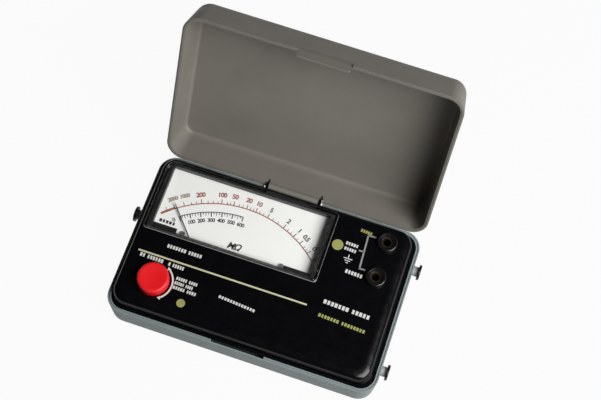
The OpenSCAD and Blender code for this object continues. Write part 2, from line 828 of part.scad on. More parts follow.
// A metal socket for a 4 mm plug, at place i
module socket(i) {
    top = panel_z + 1;
    color(brass) translate([socket_x, socket_ys[i], sleeve_bottom]) difference() {
        cylinder(r = sleeve_r, h = top - sleeve_bottom);
        translate([0, 0, 1.2]) cylinder(r = socket_bore / 2, h = 30);
    }
}

// The hexagonal nuts under the terminals
module terminal_nuts() {
    nut_h = 2.2;
    color(brass) for (y = socket_ys) translate([socket_x, y, insulator_bottom - nut_h]) difference() {
        cylinder(r = 5, h = nut_h, $fn = 6);
        translate([0, 0, -1]) cylinder(r = sleeve_r, h = nut_h + 2);
    }
}

// The printed circuit board on its posts
module circuit_board() {
    color("#2f6b45") difference() {
        block([board_x0, board_y0, board_z], [board_x1, board_y1, board_top]);
        translate([screw_x, screw_front_y, board_z - 1]) cylinder(r = post_r + 1.5, h = 4);
        block([screw_x, board_y0 - 1, board_z - 1], [board_x1 + 1, screw_front_y + 3.7, board_top + 1]);
        block([screw_x - 3.7, board_y0 - 1, board_z - 1], [board_x1 + 1, screw_front_y, board_top + 1]);
        for (p = board_spots) translate([p[0], p[1], board_z - 1]) cylinder(r = 1.1, h = 4);
    }
}

// The screws that hold the board
module board_screws() {
    color(steel) for (p = board_spots) translate([p[0], p[1], 0]) difference() {
        union() {
            translate([0, 0, board_top]) cylinder(r = 2, h = 1.2);
            translate([0, 0, board_z]) cylinder(r = 1.1, h = board_t);
        }
        translate([0, 0, board_top + 1.2]) cube([5, 0.6, 0.8], center = true);
    }
}

// The laminated core of the step-up transformer
module transformer_core() {
    color("#55585c") translate([19, -20, board_top]) difference() {
        block([-11, -5, 0], [11, 5, 14]);
        for (sx = [-1, 1]) block([sx > 0 ? 3 : -7.5, -6, 3], [sx > 0 ? 7.5 : -3, 6, 11]);
    }
}

// The winding round the middle limb of the core
module transformer_winding() {
    color("#b8863a") translate([19, -20, board_top + 3.1]) difference() {
        linear_extrude(7.8) rounded_at(14.6, 18, 2);
        block([-3.1, -5.1, -1], [3.1, 5.1, 9]);
    }
}

// A rounded rectangle for small parts
module rounded_at(w, d, r) {
    square([w - 2 * r, d], center = true);
    square([w, d - 2 * r], center = true);
    for (sx = [-1, 1], sy = [-1, 1]) translate([sx * (w / 2 - r), sy * (d / 2 - r)]) circle(r);
}

// The electrolytic and film capacitors on the board
module capacitors() {
    color("#35506e") {
        for (x = [40, 51]) translate([x, -27, board_top]) cylinder(r = 4, h = 11);
        for (y = [-24, -16]) block([31, y - 2, board_top], [35, y + 4, board_top + 8]);
    }
}

// The glass fuse
module fuse() {
    color("#cfd6d6") translate([38, -11, board_top + 5]) rotate([0, 90, 0]) {
        cylinder(r = 2.3, h = 20);
        cylinder(r = 2.6, h = 5);
        translate([0, 0, 15]) cylinder(r = 2.6, h = 5);
    }
}

// The clips that hold the fuse
module fuse_clips() {
    color(brass) for (x = [39, 54]) difference() {
        block([x, -14.2, board_top], [x + 3, -7.8, board_top + 7]);
        translate([x - 1, -11, board_top + 5]) rotate([0, 90, 0]) cylinder(r = 2.6, h = 5);
        block([x - 1, -13, board_top + 5], [x + 4, -9, board_top + 8]);
    }
}

// The headed studs for the neck strap, two on the right and one on the left
module strap_studs() {
    inner = 4.6;
    color("#3a3b3c") for (s = stud_spots)
        translate([s[0] * (case_w / 2 - inner), s[1], stud_z]) rotate([0, s[0] * 90, 0]) {
            cylinder(r = stud_r, h = inner + stud_reach);
            translate([0, 0, inner + stud_reach - stud_head_t])
                cylinder(r = stud_head_r, h = stud_head_t);
        }
}

// The steel pin of the hinge
module hinge_pin() {
    color(steel) x_rod(hinge_pin_r, 2 * ear_x + ear_t, hinge_y, hinge_z);
}

// The grey lid with its front tongue, and the hinge tongue between two slits
module lid_shell() {
    r0 = rim_z + lid_gap;
    top = rim_z + lid_h;
    color(lid_grey) opened() difference() {
        union() {
            difference() {
                moulded([[r0, 0], [top - 4.5, 1.6], [top - 1.6, 2.5], [top - 0.5, 3.6], [top - eps, 5]]);
                moulded([[r0 - 1, wall - 0.1], [top - 5, 3.2], [top - 2.6, 4.7], [top - 2, 6.7]]);
                finger_slope();
            }
            block([-tongue_w / 2, -case_d / 2 + tongue_inset, rim_z - tongue_l],
                  [tongue_w / 2, -case_d / 2 + tongue_inset + tongue_t, rim_z + 2]);
            x_rod(bead_r, tongue_w - 6, -case_d / 2 + tongue_inset + tongue_t, rim_z - tongue_l + 1);
            x_rod(barrel_r, tongue_w, hinge_y, hinge_z);
        }
        for (sx = [-1, 1]) block([sx * ear_x - slit_w / 2, hinge_y - 5, hinge_z - 3],
                                 [sx * ear_x + slit_w / 2, hinge_y + 3, hinge_z + slit_h]);
        x_rod(hinge_pin_r + hinge_play, tongue_w + 2, hinge_y, hinge_z);
    }
}

// The slope that leads the outside of the lid's front wall in to the tongue
module finger_slope() {
    front = -case_d / 2;
    rotate([90, 0, 90]) linear_extrude(tongue_w + 0.8, center = true) polygon([
        [front - 1, rim_z - 1], [front + tongue_inset + 0.2, rim_z - 1],
        [front + tongue_inset + 0.2, rim_z + lid_gap], [front + 0.2, rim_z + 2.2],
        [front - 1, rim_z + 2.2]]);
}

lower_case();
battery_cover();
battery_cover_screw();
case_screws();
battery_box();
for (i = [1:4]) battery_cell(i);
battery_springs();
battery_plates();
upper_case();
meter_cover();
dial_bezel();
dial_plate();
dial_screws();
movement_frame();
movement_bridge();
magnet_ring();
pole_pieces();
iron_core();
jewel_bearings();
moving_coil();
coil_pivots();
pointer();
hairspring();
test_button();
button_stem();
button_slider();
button_guide();
button_spring();
switch_base();
switch_contacts();
terminal(1);  // line_terminal
terminal(0);  // earth_terminal
socket(1);  // line_socket
socket(0);  // earth_socket
terminal_nuts();
circuit_board();
board_screws();
transformer_core();
transformer_winding();
capacitors();
fuse();
fuse_clips();
strap_studs();
hinge_pin();
lid_shell();
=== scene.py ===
"""Analogue insulation tester in its open carrying case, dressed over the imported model.

Sizes are in millimetres, as in the part's source, and turn into metres where a mesh is made.
X runs to the user's right, Y towards the hinge and Z up out of the panel.
"""

from __future__ import annotations

import logging
import math
from contextlib import contextmanager
from dataclasses import dataclass, field
from enum import Enum
from typing import Callable, ClassVar, Iterator, Sequence

import bpy
from mathutils import Matrix, Vector

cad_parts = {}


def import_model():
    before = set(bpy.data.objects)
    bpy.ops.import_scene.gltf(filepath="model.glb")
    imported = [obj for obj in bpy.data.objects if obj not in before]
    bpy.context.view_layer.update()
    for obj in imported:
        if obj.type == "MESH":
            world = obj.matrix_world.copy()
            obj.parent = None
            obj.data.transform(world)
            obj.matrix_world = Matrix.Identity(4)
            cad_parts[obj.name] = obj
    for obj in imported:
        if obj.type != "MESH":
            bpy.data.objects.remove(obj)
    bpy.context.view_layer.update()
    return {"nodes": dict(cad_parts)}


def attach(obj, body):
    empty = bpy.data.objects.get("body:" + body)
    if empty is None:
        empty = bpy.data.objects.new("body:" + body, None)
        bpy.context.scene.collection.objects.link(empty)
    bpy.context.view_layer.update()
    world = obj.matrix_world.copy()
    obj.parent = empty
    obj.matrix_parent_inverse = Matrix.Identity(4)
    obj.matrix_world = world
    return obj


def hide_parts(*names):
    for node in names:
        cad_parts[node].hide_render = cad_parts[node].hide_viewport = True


LOG = logging.getLogger("insulation_tester")

# One millimetre in metres.
MM = 0.001
# Points that lie closer than this are one point.
MERGE_WITHIN = 0.001
# How far from a plane a point, or the middle of a face, may lie and still count as on it.
POINT_PLAY = 0.01
FACE_PLAY = 0.05
# How far below a piece's top its top edges may lie.
EDGE_PLAY = 0.1
# Segments in a round corner of a case part, and in a broken edge.
CORNER_STEPS = 14
EDGE_STEPS = 2
# Width of the small round on the edges of the case parts.
EDGE_ROUND = 0.15
# From what angle in degrees an edge counts as sharp, on most pieces and on smooth ones.
SHARP_ANGLE = 35
SMOOTH_ANGLE = 40
# How strongly a large face keeps its own shading.
FLAT_WEIGHT = 80

Colour = tuple[float, float, float]
Point = tuple[float, float, float]
Spot = tuple[float, float]
# The lowest and the highest corner.
Box = tuple[Point, Point]
# What terrace() takes: how far each step draws a face in, and how far it moves it.
Steps = tuple[Spot, ...]
# A row of blocks: its ends, its height and the blocks in each group.
Row = tuple[Spot, Spot, float, tuple[int, ...]]
# A line: its ends and its width.
Line = tuple[Spot, Spot, float]
Piece = bpy.types.Object
Socket = bpy.types.NodeSocket
Test = Callable[[Vector, Vector], bool]


def srgb(red: int, green: int, blue: int) -> Colour:
    """Turn an 8-bit display colour into a linear one.

    Args:
        red: Red, 0 to 255.
        green: Green, 0 to 255.
        blue: Blue, 0 to 255.

    Returns:
        The linear colour.
    """
    parts = (c / 255 for c in (red, green, blue))
    return tuple(c / 12.92 if c <= 0.04045 else ((c + 0.055) / 1.055) ** 2.4 for c in parts)


def mm(*values: float) -> Vector:
    """Turn millimetres into a vector in metres."""
    return Vector(values) * MM


class Select(Enum):
    """What edit mode selects, as the three flags that Blender takes."""

    POINTS = (True, False, False)
    EDGES = (False, True, False)
    FACES = (False, False, True)


class Join(Enum):
    """How a tool changes the piece that it meets."""

    CUT = "DIFFERENCE"
    WELD = "UNION"


class Body(Enum):
    """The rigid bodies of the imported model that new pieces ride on."""

    CASE = "case"
    LID = "lid"
    BUTTON = "button"


# Modelling steps


def pick(*pieces: Piece) -> None:
    """Select these pieces alone, the first one active.

    Args:
        pieces: The pieces.
    """
    bpy.ops.object.select_all(action="DESELECT")
    for piece in pieces:
        piece.select_set(True)
    bpy.context.view_layer.objects.active = pieces[0]


def named(name: str) -> Piece:
    """Name the piece that an operator has just added.

    Args:
        name: The name, for its mesh too.

    Returns:
        The piece.
    """
    piece = bpy.context.active_object
    piece.name = piece.data.name = name
    return piece


def settle(piece: Piece) -> Piece:
    """Move a piece's place, turn and scale into its mesh.

    Args:
        piece: The piece.

    Returns:
        The same piece.
    """
    pick(piece)
    bpy.ops.object.transform_apply(location=True, rotation=True, scale=True)
    return piece


def choose(mesh: bpy.types.Mesh, kind: Select, test: Test) -> None:
    """Select what passes a test in a mesh, and nothing else.

    Args:
        mesh: The mesh, in object mode.
        kind: What is tested.
        test: Takes a face's middle and normal, or an edge's two ends, or a point twice, with
            places in millimetres.
    """
    for group in (mesh.vertices, mesh.edges, mesh.polygons):
        group.foreach_set("select", [False] * len(group))
    if kind is Select.FACES:
        for face in mesh.polygons:
            face.select = test(face.center / MM, face.normal)
    elif kind is Select.EDGES:
        for edge in mesh.edges:
            ends = [mesh.vertices[i] for i in edge.vertices]
            edge.select = test(ends[0].co / MM, ends[1].co / MM)
            if edge.select:
                for end in ends:
                    end.select = True
    else:
        for point in mesh.vertices:
            point.select = test(point.co / MM, point.co / MM)


@contextmanager
def editing(
    piece: Piece, kind: Select = Select.FACES, test: Test | None = None
) -> Iterator[None]:
    """Open a piece in edit mode with some of it selected.

    Args:
        piece: The piece to edit.
        kind: What is selected.
        test: What choose() takes. Everything is selected when it is left out.

    Yields:
        Nothing, while edit mode is open.
    """
    pick(piece)
    if test is not None:
        choose(piece.data, kind, test)
    bpy.context.tool_settings.mesh_select_mode = kind.value
    bpy.ops.object.mode_set(mode="EDIT")
    if test is None:
        bpy.ops.mesh.select_all(action="SELECT")
    try:
        yield
    finally:
        bpy.ops.object.mode_set(mode="OBJECT")


def flat_faces(height: float, way: int, least: float = 0.9) -> Test:
    """Return a test for the flat faces at a height.

    Args:
        height: The faces' height.
        way: 1 for faces that look up, -1 for faces that look down.
        least: How much of a face's normal is upright at least.

    Returns:
        The test.
    """

    def is_one(middle: Vector, normal: Vector) -> bool:
        """Say whether a face is one of them."""
        return abs(middle.z - height) < FACE_PLAY and normal.z * way > least

    return is_one


def edges_at_top(height: float) -> Test:
    """Return a test for the edges that lie at a piece's top."""
    return lambda start, end: min(start.z, end.z) > height - EDGE_PLAY


def finish_with(piece: Piece, kind: str, **settings: object) -> None:
    """Add a modifier and apply it.

    Args:
        piece: The piece.
        kind: The modifier's kind.
        settings: The modifier's settings by name.
    """
    pick(piece)
    modifier = piece.modifiers.new(kind.title(), kind)
    for key, value in settings.items():
        setattr(modifier, key, value)
    bpy.ops.object.modifier_apply(modifier=modifier.name)


def thicken(piece: Piece, wall: float) -> None:
    """Give a skin its wall, inwards."""
    finish_with(piece, "SOLIDIFY", thickness=wall * MM, offset=-1, use_even_offset=True)


def flat_plate(name: str, size: Spot, height: float, centre: Spot = (0, 0)) -> Piece:
    """Make a flat rectangle that faces up.

    Args:
        name: The piece's name.
        size: Width and depth.
        height: Its height.
        centre: Its middle.

    Returns:
        The rectangle.
    """
    bpy.ops.mesh.primitive_plane_add(size=1, location=mm(*centre, height))
    plate = named(name)
    plate.scale = (size[0] * MM, size[1] * MM, 1)
    return settle(plate)


def round_corners(plate: Piece, radius: float, steps: int, test: Test | None = None) -> None:
    """Round the chosen corners of a flat plate, or all of them."""
    with editing(plate, Select.POINTS, test):
        bpy.ops.mesh.bevel(offset=radius * MM, segments=steps, affect="VERTICES")


def case_outline(name: str, size: Spot, radius: float, height: float) -> Piece:
    """Make the outline of a case part as a flat face with round corners, facing up.

    Args:
        name: The piece's name.
        size: Width and depth.
        radius: Corner radius.
        height: The face's height.

    Returns:
        The flat face.
    """
    plate = flat_plate(name, size, height)
    round_corners(plate, radius, CORNER_STEPS)
    return plate


def terrace(piece: Piece, steps: Steps, test: Test | None = None) -> None:
    """Draw the chosen face in and move it along its normal, one step after another.

    Args:
        piece: The piece to shape.
        steps: How far each step draws the face in, and how far it moves it.
        test: Which faces are taken, or all.
    """
    with editing(piece, Select.FACES, test):
        for drawn, moved in steps:
            bpy.ops.mesh.inset(thickness=drawn * MM, depth=moved * MM, use_even_offset=True)


def brick(name: str, low: Sequence[float], high: Sequence[float]) -> Piece:
    """Make a box between two corners.

    Args:
        name: The piece's name.
        low: The lowest corner.
        high: The highest corner.

    Returns:
        The box.
    """
    low_v, high_v = Vector(low), Vector(high)
    bpy.ops.mesh.primitive_cube_add(size=1, location=(low_v + high_v) / 2 * MM)
    box = named(name)
    box.scale = (high_v - low_v) * MM
    return settle(box)


def rod(
    name: str, radius: float, low: Sequence[float], high: Sequence[float], sides: int = 48
) -> Piece:
    """Make a round rod between two points.

    Args:
        name: The piece's name.
        radius: The rod's radius.
        low: The middle of one end.
        high: The middle of the other end.
        sides: Faces round it.

    Returns:
        The rod.
    """
    start, end = Vector(low), Vector(high)
    along = end - start
    bpy.ops.mesh.primitive_cylinder_add(
        vertices=sides,
        radius=radius * MM,
        depth=along.length * MM,
        location=(start + end) / 2 * MM,
    )
    piece = named(name)
    piece.rotation_mode = "QUATERNION"
    piece.rotation_quaternion = along.to_track_quat("Z", "Y")
    return settle(piece)


def round_edges(piece: Piece, width: float, steps: int, test: Test | None = None) -> None:
    """Round the chosen edges of a piece, or all of them."""
    with editing(piece, Select.EDGES, test):
        bpy.ops.mesh.bevel(offset=width * MM, segments=steps, affect="EDGES", clamp_overlap=True)


def nudge(piece: Piece, move: Point, test: Test) -> None:
    """Move the chosen points of a piece."""
    with editing(piece, Select.POINTS, test):
        bpy.ops.transform.translate(value=mm(*move))


def combine(piece: Piece, tool: Piece, join: Join) -> None:
    """Cut a tool out of a piece, or weld it on, and remove the tool."""
    finish_with(piece, "BOOLEAN", object=tool, operation=join.value, solver="EXACT")
    bpy.data.objects.remove(tool, do_unlink=True)


def soften(piece: Piece, width: float, spare: Test = lambda start, end: False) -> None:
    """Break a piece's sharp edges with a small round and shade it smooth.

    Args:
        piece: The piece.
        width: Width of the round.
        spare: Says by its two ends whether an edge stays sharp.
    """
    with editing(piece, Select.EDGES, lambda start, end: False):
        bpy.ops.mesh.edges_select_sharp(sharpness=math.radians(SHARP_ANGLE))
        bpy.ops.transform.edge_bevelweight(value=1)
    with editing(piece, Select.EDGES, spare):
        bpy.ops.transform.edge_bevelweight(value=-1)
    finish_with(
        piece,
        "BEVEL",
        width=width * MM,
        segments=EDGE_STEPS,
        limit_method="WEIGHT",
        use_clamp_overlap=True,
        harden_normals=False,
    )
    shade(piece)


def shade(piece: Piece, angle: float = SHARP_ANGLE) -> None:
    """Shade a piece smooth, with its flat faces kept flat.

    Args:
        piece: The piece.
        angle: From what angle in degrees an edge stays sharp.
    """
    pick(piece)
    bpy.ops.object.shade_smooth_by_angle(angle=math.radians(angle))
    finish_with(piece, "WEIGHTED_NORMAL", keep_sharp=True, weight=FLAT_WEIGHT)


def face_outwards(piece: Piece) -> None:
    """Merge doubled points and turn all faces outwards.

    Args:
        piece: The piece.
    """
    with editing(piece):
        bpy.ops.mesh.remove_doubles(threshold=MERGE_WITHIN * MM)
        bpy.ops.mesh.normals_make_consistent(inside=False)


def extrude(piece: Piece, height: float) -> None:
    """Draw flat faces out along Z into solids that face outwards.

    Args:
        piece: The flat piece.
        height: How far, and down when it is negative.
    """
    with editing(piece):
        bpy.ops.mesh.extrude_region_move(TRANSFORM_OT_translate={"value": mm(0, 0, height)})
    face_outwards(piece)


def weld(name: str, pieces: Sequence[Piece]) -> Piece:
    """Join pieces into one object.

    Args:
        name: The object's name.
        pieces: The pieces.

    Returns:
        The object.
    """
    pick(*pieces)
    if len(pieces) > 1:
        bpy.ops.object.join()
    return named(name)


# Finishes


class Graph:
    """Node tree of one material round its main shader."""

    PATTERN: Spot = (0.3, 0.7)
    MIX_SHARE, MIX_FIRST, MIX_SECOND, MIX_RESULT = 0, 6, 7, 2

    def __init__(self, name: str) -> None:
        """Start a material with a Principled shader and object coordinates.

        Args:
            name: The material's name.
        """
        self.material = bpy.data.materials.new(name)
        self.material.use_nodes = True
        self.nodes = self.material.node_tree.nodes
        self.skin = self.nodes["Principled BSDF"]
        self.place = self.nodes.new("ShaderNodeTexCoord").outputs["Object"]

    def link(self, source: Socket, target: Socket) -> None:
        """Link two sockets."""
        self.material.node_tree.links.new(source, target)

    def noise(self, size: float, detail: float = 3, roughness: float = 0.55) -> Socket:
        """Add a noise pattern.

        Args:
            size: Size of its spots.
            detail: Finer levels in it.
            roughness: How strong these are.

        Returns:
            The pattern's value, mostly inside PATTERN.
        """
        node = self.nodes.new("ShaderNodeTexNoise")
        node.inputs["Scale"].default_value = 1 / (size * MM)
        node.inputs["Detail"].default_value = detail
        node.inputs["Roughness"].default_value = roughness
        self.link(self.place, node.inputs["Vector"])
        return node.outputs["Fac"]

    def span(self, value: Socket, low: float, high: float) -> Socket:
        """Stretch a noise pattern to run from low to high.

        Args:
            value: The pattern.
            low: What its lowest value turns into.
            high: What its highest value turns into.

        Returns:
            The stretched value.
        """
        node = self.nodes.new("ShaderNodeMapRange")
        node.inputs["From Min"].default_value = self.PATTERN[0]
        node.inputs["From Max"].default_value = self.PATTERN[1]
        node.inputs["To Min"].default_value = low
        node.inputs["To Max"].default_value = high
        self.link(value, node.inputs["Value"])
        return node.outputs["Result"]

    def tint(self, value: Socket, first: Colour, second: Colour) -> None:
        """Mix the shader's colour from two by a value.

        Args:
            value: The second colour's share.
            first: The colour at 0.
            second: The colour at 1.
        """
        node = self.nodes.new("ShaderNodeMix")
        node.data_type = "RGBA"
        node.inputs[self.MIX_FIRST].default_value = (*first, 1)
        node.inputs[self.MIX_SECOND].default_value = (*second, 1)
        self.link(value, node.inputs[self.MIX_SHARE])
        self.link(node.outputs[self.MIX_RESULT], self.skin.inputs["Base Color"])

    def rub(self, pattern: Socket, middle: float, spread: Spot) -> None:
        """Let the roughness vary about its middle by a noise pattern, from low to high."""
        low, high = (middle + more for more in spread)
        self.link(self.span(pattern, low, high), self.skin.inputs["Roughness"])

    def relief(self, height: Socket, depth: float) -> None:
        """Give the shader a bump.

        Args:
            height: The pattern that is raised.
            depth: The bump's depth.
        """
        node = self.nodes.new("ShaderNodeBump")
        node.inputs["Distance"].default_value = depth * MM
        self.link(height, node.inputs["Height"])
        self.link(node.outputs["Normal"], self.skin.inputs["Normal"])

    def calculate(self, operation: str, first: Socket) -> bpy.types.Node:
        """Add a calculation whose second value is still to be given.

        Args:
            operation: What Blender calls it.
            first: Its first value.

        Returns:
            The node.
        """
        node = self.nodes.new("ShaderNodeMath")
        node.operation = operation
        self.link(first, node.inputs[0])
        return node

    def rays(self, *kinds: str) -> Socket:
        """Tell some kinds of rays from the others.

        Args:
            kinds: The Light Path outputs that count.

        Returns:
            1 for a ray of such a kind, and 0 for another.
        """
        path = self.nodes.new("ShaderNodeLightPath")
        hit = path.outputs[kinds[0]]
        for kind in kinds[1:]:
            either = self.calculate("MAXIMUM", hit)
            self.link(path.outputs[kind], either.inputs[1])
            hit = either.outputs["Value"]
        return hit

    def give_way(self, share: Socket, other: Socket) -> None:
        """Show another shader in place of the main one.

        Args:
            share: The other shader's share.
            other: The other shader.
        """
        mix = self.nodes.new("ShaderNodeMixShader")
        self.link(share, mix.inputs["Fac"])
        self.link(self.skin.outputs["BSDF"], mix.inputs[1])
        self.link(other, mix.inputs[2])
        self.link(mix.outputs["Shader"], self.nodes["Material Output"].inputs["Surface"])


def shift(colour: Colour, factor: float) -> Colour:
    """Make a linear colour lighter or darker."""
    return tuple(min(1.0, c * factor) for c in colour)


@dataclass(frozen=True)
class Finish:
    """What every finish has: a name, and a material that is made once."""

    name: str
    made: ClassVar[dict[str, bpy.types.Material]] = {}

    def material(self) -> bpy.types.Material:
        """Return the finish's material, made at its first use.

        Returns:
            The material.
        """
        if self.name not in Finish.made:
            graph = Graph(self.name)
            self.paint(graph)
            Finish.made[self.name] = graph.material
        return Finish.made[self.name]

    def paint(self, graph: Graph) -> None:
        """Set up the node tree."""
        raise NotImplementedError

    def on(self, piece: Piece) -> None:
        """Dress a piece in the finish."""
        piece.data.materials.clear()
        piece.data.materials.append(self.material())


@dataclass(frozen=True)
class Moulding(Finish):
    """Moulded plastic with a fine eroded grain and faint flow marks."""

    colour: Colour = (0.5, 0.5, 0.5)
    roughness: float = 0.5
    grain: float = 0.35
    depth: float = 0.012
    mottle: float = 0.06
    shine: float = 0.5
    cloud_size: float = 18
    rub_size: float = 6
    rub_spread: Spot = (-0.05, 0.06)

    def paint(self, graph: Graph) -> None:
        """Mix large faint clouds into the colour and a fine grain into the relief.

        Args:
            graph: The material's node tree.
        """
        low, high = shift(self.colour, 1 - self.mottle), shift(self.colour, 1 + self.mottle)
        graph.tint(graph.span(graph.noise(self.cloud_size, detail=4), 0, 1), low, high)
        worn = graph.noise(self.rub_size, detail=5, roughness=0.65)
        graph.rub(worn, self.roughness, self.rub_spread)
        graph.skin.inputs["Specular IOR Level"].default_value = self.shine
        graph.relief(graph.noise(self.grain, detail=2, roughness=0.5), self.depth)


@dataclass(frozen=True)
class Metal(Finish):
    """Plated or bare metal with faint working marks."""

    colour: Colour = (0.6, 0.6, 0.6)
    roughness: float = 0.3
    stain: float = 0.15
    stain_size: float = 2.5
    rub_size: float = 0.8
    rub_spread: Spot = (-0.08, 0.1)
    grain: float = 0.3
    depth: float = 0.004

    def paint(self, graph: Graph) -> None:
        """Vary the colour and the roughness a little over the metal.

        Args:
            graph: The material's node tree.
        """
        stains = graph.span(graph.noise(self.stain_size, detail=4, roughness=0.6), 0, 1)
        graph.tint(stains, shift(self.colour, 1 - self.stain), self.colour)
        graph.skin.inputs["Metallic"].default_value = 1
        graph.rub(graph.noise(self.rub_size), self.roughness, self.rub_spread)
        graph.relief(graph.noise(self.grain, detail=2), self.depth)


@dataclass(frozen=True)
class Enamel(Finish):
    """Matt enamel or ink that lies on something, with a slightly uneven coat."""

    colour: Colour = (0.9, 0.9, 0.9)
    roughness: float = 0.45
    unevenness: float = 0.03
    cloud_size: float = 3
    rub_size: float = 1.2
    rub_spread: Spot = (-0.05, 0.08)
    grain: float = 0.4
    depth: float = 0.003

    def paint(self, graph: Graph) -> None:
        """Vary the coat's colour and gloss.

        Args:
            graph: The material's node tree.
        """
        low = shift(self.colour, 1 - self.unevenness)
        high = shift(self.colour, 1 + self.unevenness)
        graph.tint(graph.span(graph.noise(self.cloud_size, detail=4), 0, 1), low, high)
        graph.rub(graph.noise(self.rub_size), self.roughness, self.rub_spread)
        graph.relief(graph.noise(self.grain, detail=2), self.depth)


@dataclass(frozen=True)
class ClearMoulding(Finish):
    """Clear polished plastic that lets the lamp reach what is behind it."""

    colour: Colour = (0.97, 0.99, 0.98)
    roughness: float = 0.03
    refraction: float = 1.49
    rub_size: float = 9
    rub_spread: Spot = (-0.02, 0.03)

    def paint(self, graph: Graph) -> None:
        """Make the shader glass, and leave it out for the light that falls through it.

        Args:
            graph: The material's node tree.
        """
        graph.skin.inputs["Base Color"].default_value = (*self.colour, 1)
        graph.skin.inputs["Transmission Weight"].default_value = 1
        graph.skin.inputs["IOR"].default_value = self.refraction
        graph.rub(graph.noise(self.rub_size, detail=4), self.roughness, self.rub_spread)
        through = graph.nodes.new("ShaderNodeBsdfTransparent").outputs["BSDF"]
        graph.give_way(graph.rays("Is Shadow Ray", "Is Diffuse Ray"), through)


@dataclass(frozen=True)
class Winding(Finish):
    """Enamelled wire in close turns."""

    colour: Colour = (0.5, 0.2, 0.08)
    pitch: float = 0.3
    depth: float = 0.08
    wander: float = 0.4
    # How dark the painted shade in the grooves between turns is.
    painted_groove_shade: float = 0.55
    metallic: float = 0.6
    roughness: float = 0.35

    WAVE_LENGTH: ClassVar[float] = 0.314

    def paint(self, graph: Graph) -> None:
        """Draw the turns as fine bands, with painted shade in the grooves between them.

        Args:
            graph: The material's node tree.
        """
        wave = graph.nodes.new("ShaderNodeTexWave")
        wave.bands_direction = "Z"
        wave.inputs["Scale"].default_value = self.WAVE_LENGTH / (self.pitch * MM)
        wave.inputs["Distortion"].default_value = self.wander
        graph.link(graph.place, wave.inputs["Vector"])
        turns = wave.outputs["Fac"]
        graph.tint(turns, shift(self.colour, self.painted_groove_shade), self.colour)
        graph.skin.inputs["Metallic"].default_value = self.metallic
        graph.skin.inputs["Roughness"].default_value = self.roughness
        graph.relief(turns, self.depth)


CASE_GREY = Moulding("case_grey", srgb(122, 134, 133), 0.55, mottle=0.05)
LID_GREY = Moulding("lid_grey", srgb(114, 110, 103), 0.52, mottle=0.05)
PANEL_BLACK = Moulding(
    "panel_black", srgb(6, 6, 8), 0.22, grain=0.25, depth=0.003, mottle=0.1, shine=0.3
)
BEZEL_BLACK = Moulding("bezel_black", srgb(14, 14, 15), 0.4, depth=0.003)
TERMINAL_BLACK = Moulding("terminal_black", srgb(18, 18, 19), 0.22, depth=0.002)
BUTTON_RED = Moulding("button_red", srgb(230, 22, 30), 0.42, grain=0.3, depth=0.004, mottle=0.03)
SWITCH_CREAM = Moulding("switch_cream", srgb(205, 190, 155), 0.5)
BOX_BLACK = Moulding("battery_box_black", srgb(38, 40, 42), 0.55)
BOARD_GREEN = Moulding("board_green", srgb(38, 96, 62), 0.35, grain=0.6, depth=0.01, mottle=0.15)
SLEEVE_BLUE = Moulding("capacitor_sleeve", srgb(48, 76, 108), 0.3, depth=0.002)
CELL_SLEEVE = Moulding("cell_sleeve", srgb(66, 78, 90), 0.3, depth=0.002, mottle=0.1)
CLEAR = ClearMoulding("clear_cover")
# Pale grey for the ring on the clear cover's outer edge: a painted highlight.
PAINTED_COVER_HIGHLIGHT = Moulding("cover_painted_highlight", srgb(150, 152, 150), 0.25, depth=0.001, mottle=0.15)
DIAL_WHITE = Enamel("dial_white", srgb(247, 246, 243), 0.5, 0.015)
STEEL = Metal("zinc_plate", srgb(190, 192, 196), 0.32)
DARK_STEEL = Metal("dark_plated_steel", srgb(70, 70, 70), 0.38, 0.25)
# Pale grey for the stud stems, lighter than the dark plated heads: painted light on the studs' one
# metal.
STUD_STEM_PAINTED_LIGHT = Moulding("stud_stem_painted_light", srgb(150, 150, 145), 0.45)
BRASS = Metal("brass", srgb(205, 168, 92), 0.28)
# The sockets' brass, darkened as painted shade for their depth inside the terminals.
SOCKET_BRASS_SHADED = Metal("brass_painted_socket_shade", srgb(92, 80, 56), 0.42, 0.3)
ALUMINIUM = Metal("movement_metal", srgb(172, 174, 178), 0.4)
SOFT_IRON = Metal("soft_iron", srgb(120, 122, 125), 0.45, 0.3)
MAGNET = Moulding("sintered_magnet", srgb(66, 68, 70), 0.6, grain=0.5, depth=0.02, mottle=0.2)
JEWEL = Moulding("bearing_stone", srgb(168, 46, 70), 0.12, depth=0.001)
COPPER = Winding("copper_winding", srgb(176, 104, 52))
POINTER_BLACK = Enamel("pointer_black", srgb(16, 16, 18), 0.4, 0.2)
FUSE_GLASS = Moulding("fuse_glass", srgb(205, 212, 212), 0.12, depth=0.001)
INK_BLACK = Enamel("dial_ink_black", srgb(28, 28, 30), 0.55, 0.15)
INK_RED = Enamel("dial_ink_red", srgb(150, 62, 52), 0.55, 0.12)
INK_TAN = Enamel("dial_ink_tan", srgb(148, 108, 84), 0.55, 0.12)
PRINT_WHITE = Enamel("panel_print_white", srgb(206, 206, 202), 0.5, 0.06)
PRINT_GREY = Enamel("panel_print_grey", srgb(140, 141, 138), 0.5, 0.06)
PRINT_CREAM = Enamel("panel_print_cream", srgb(196, 193, 156), 0.5, 0.06)
PRINT_OLIVE = Enamel("panel_print_olive", srgb(150, 152, 86), 0.5, 0.08)

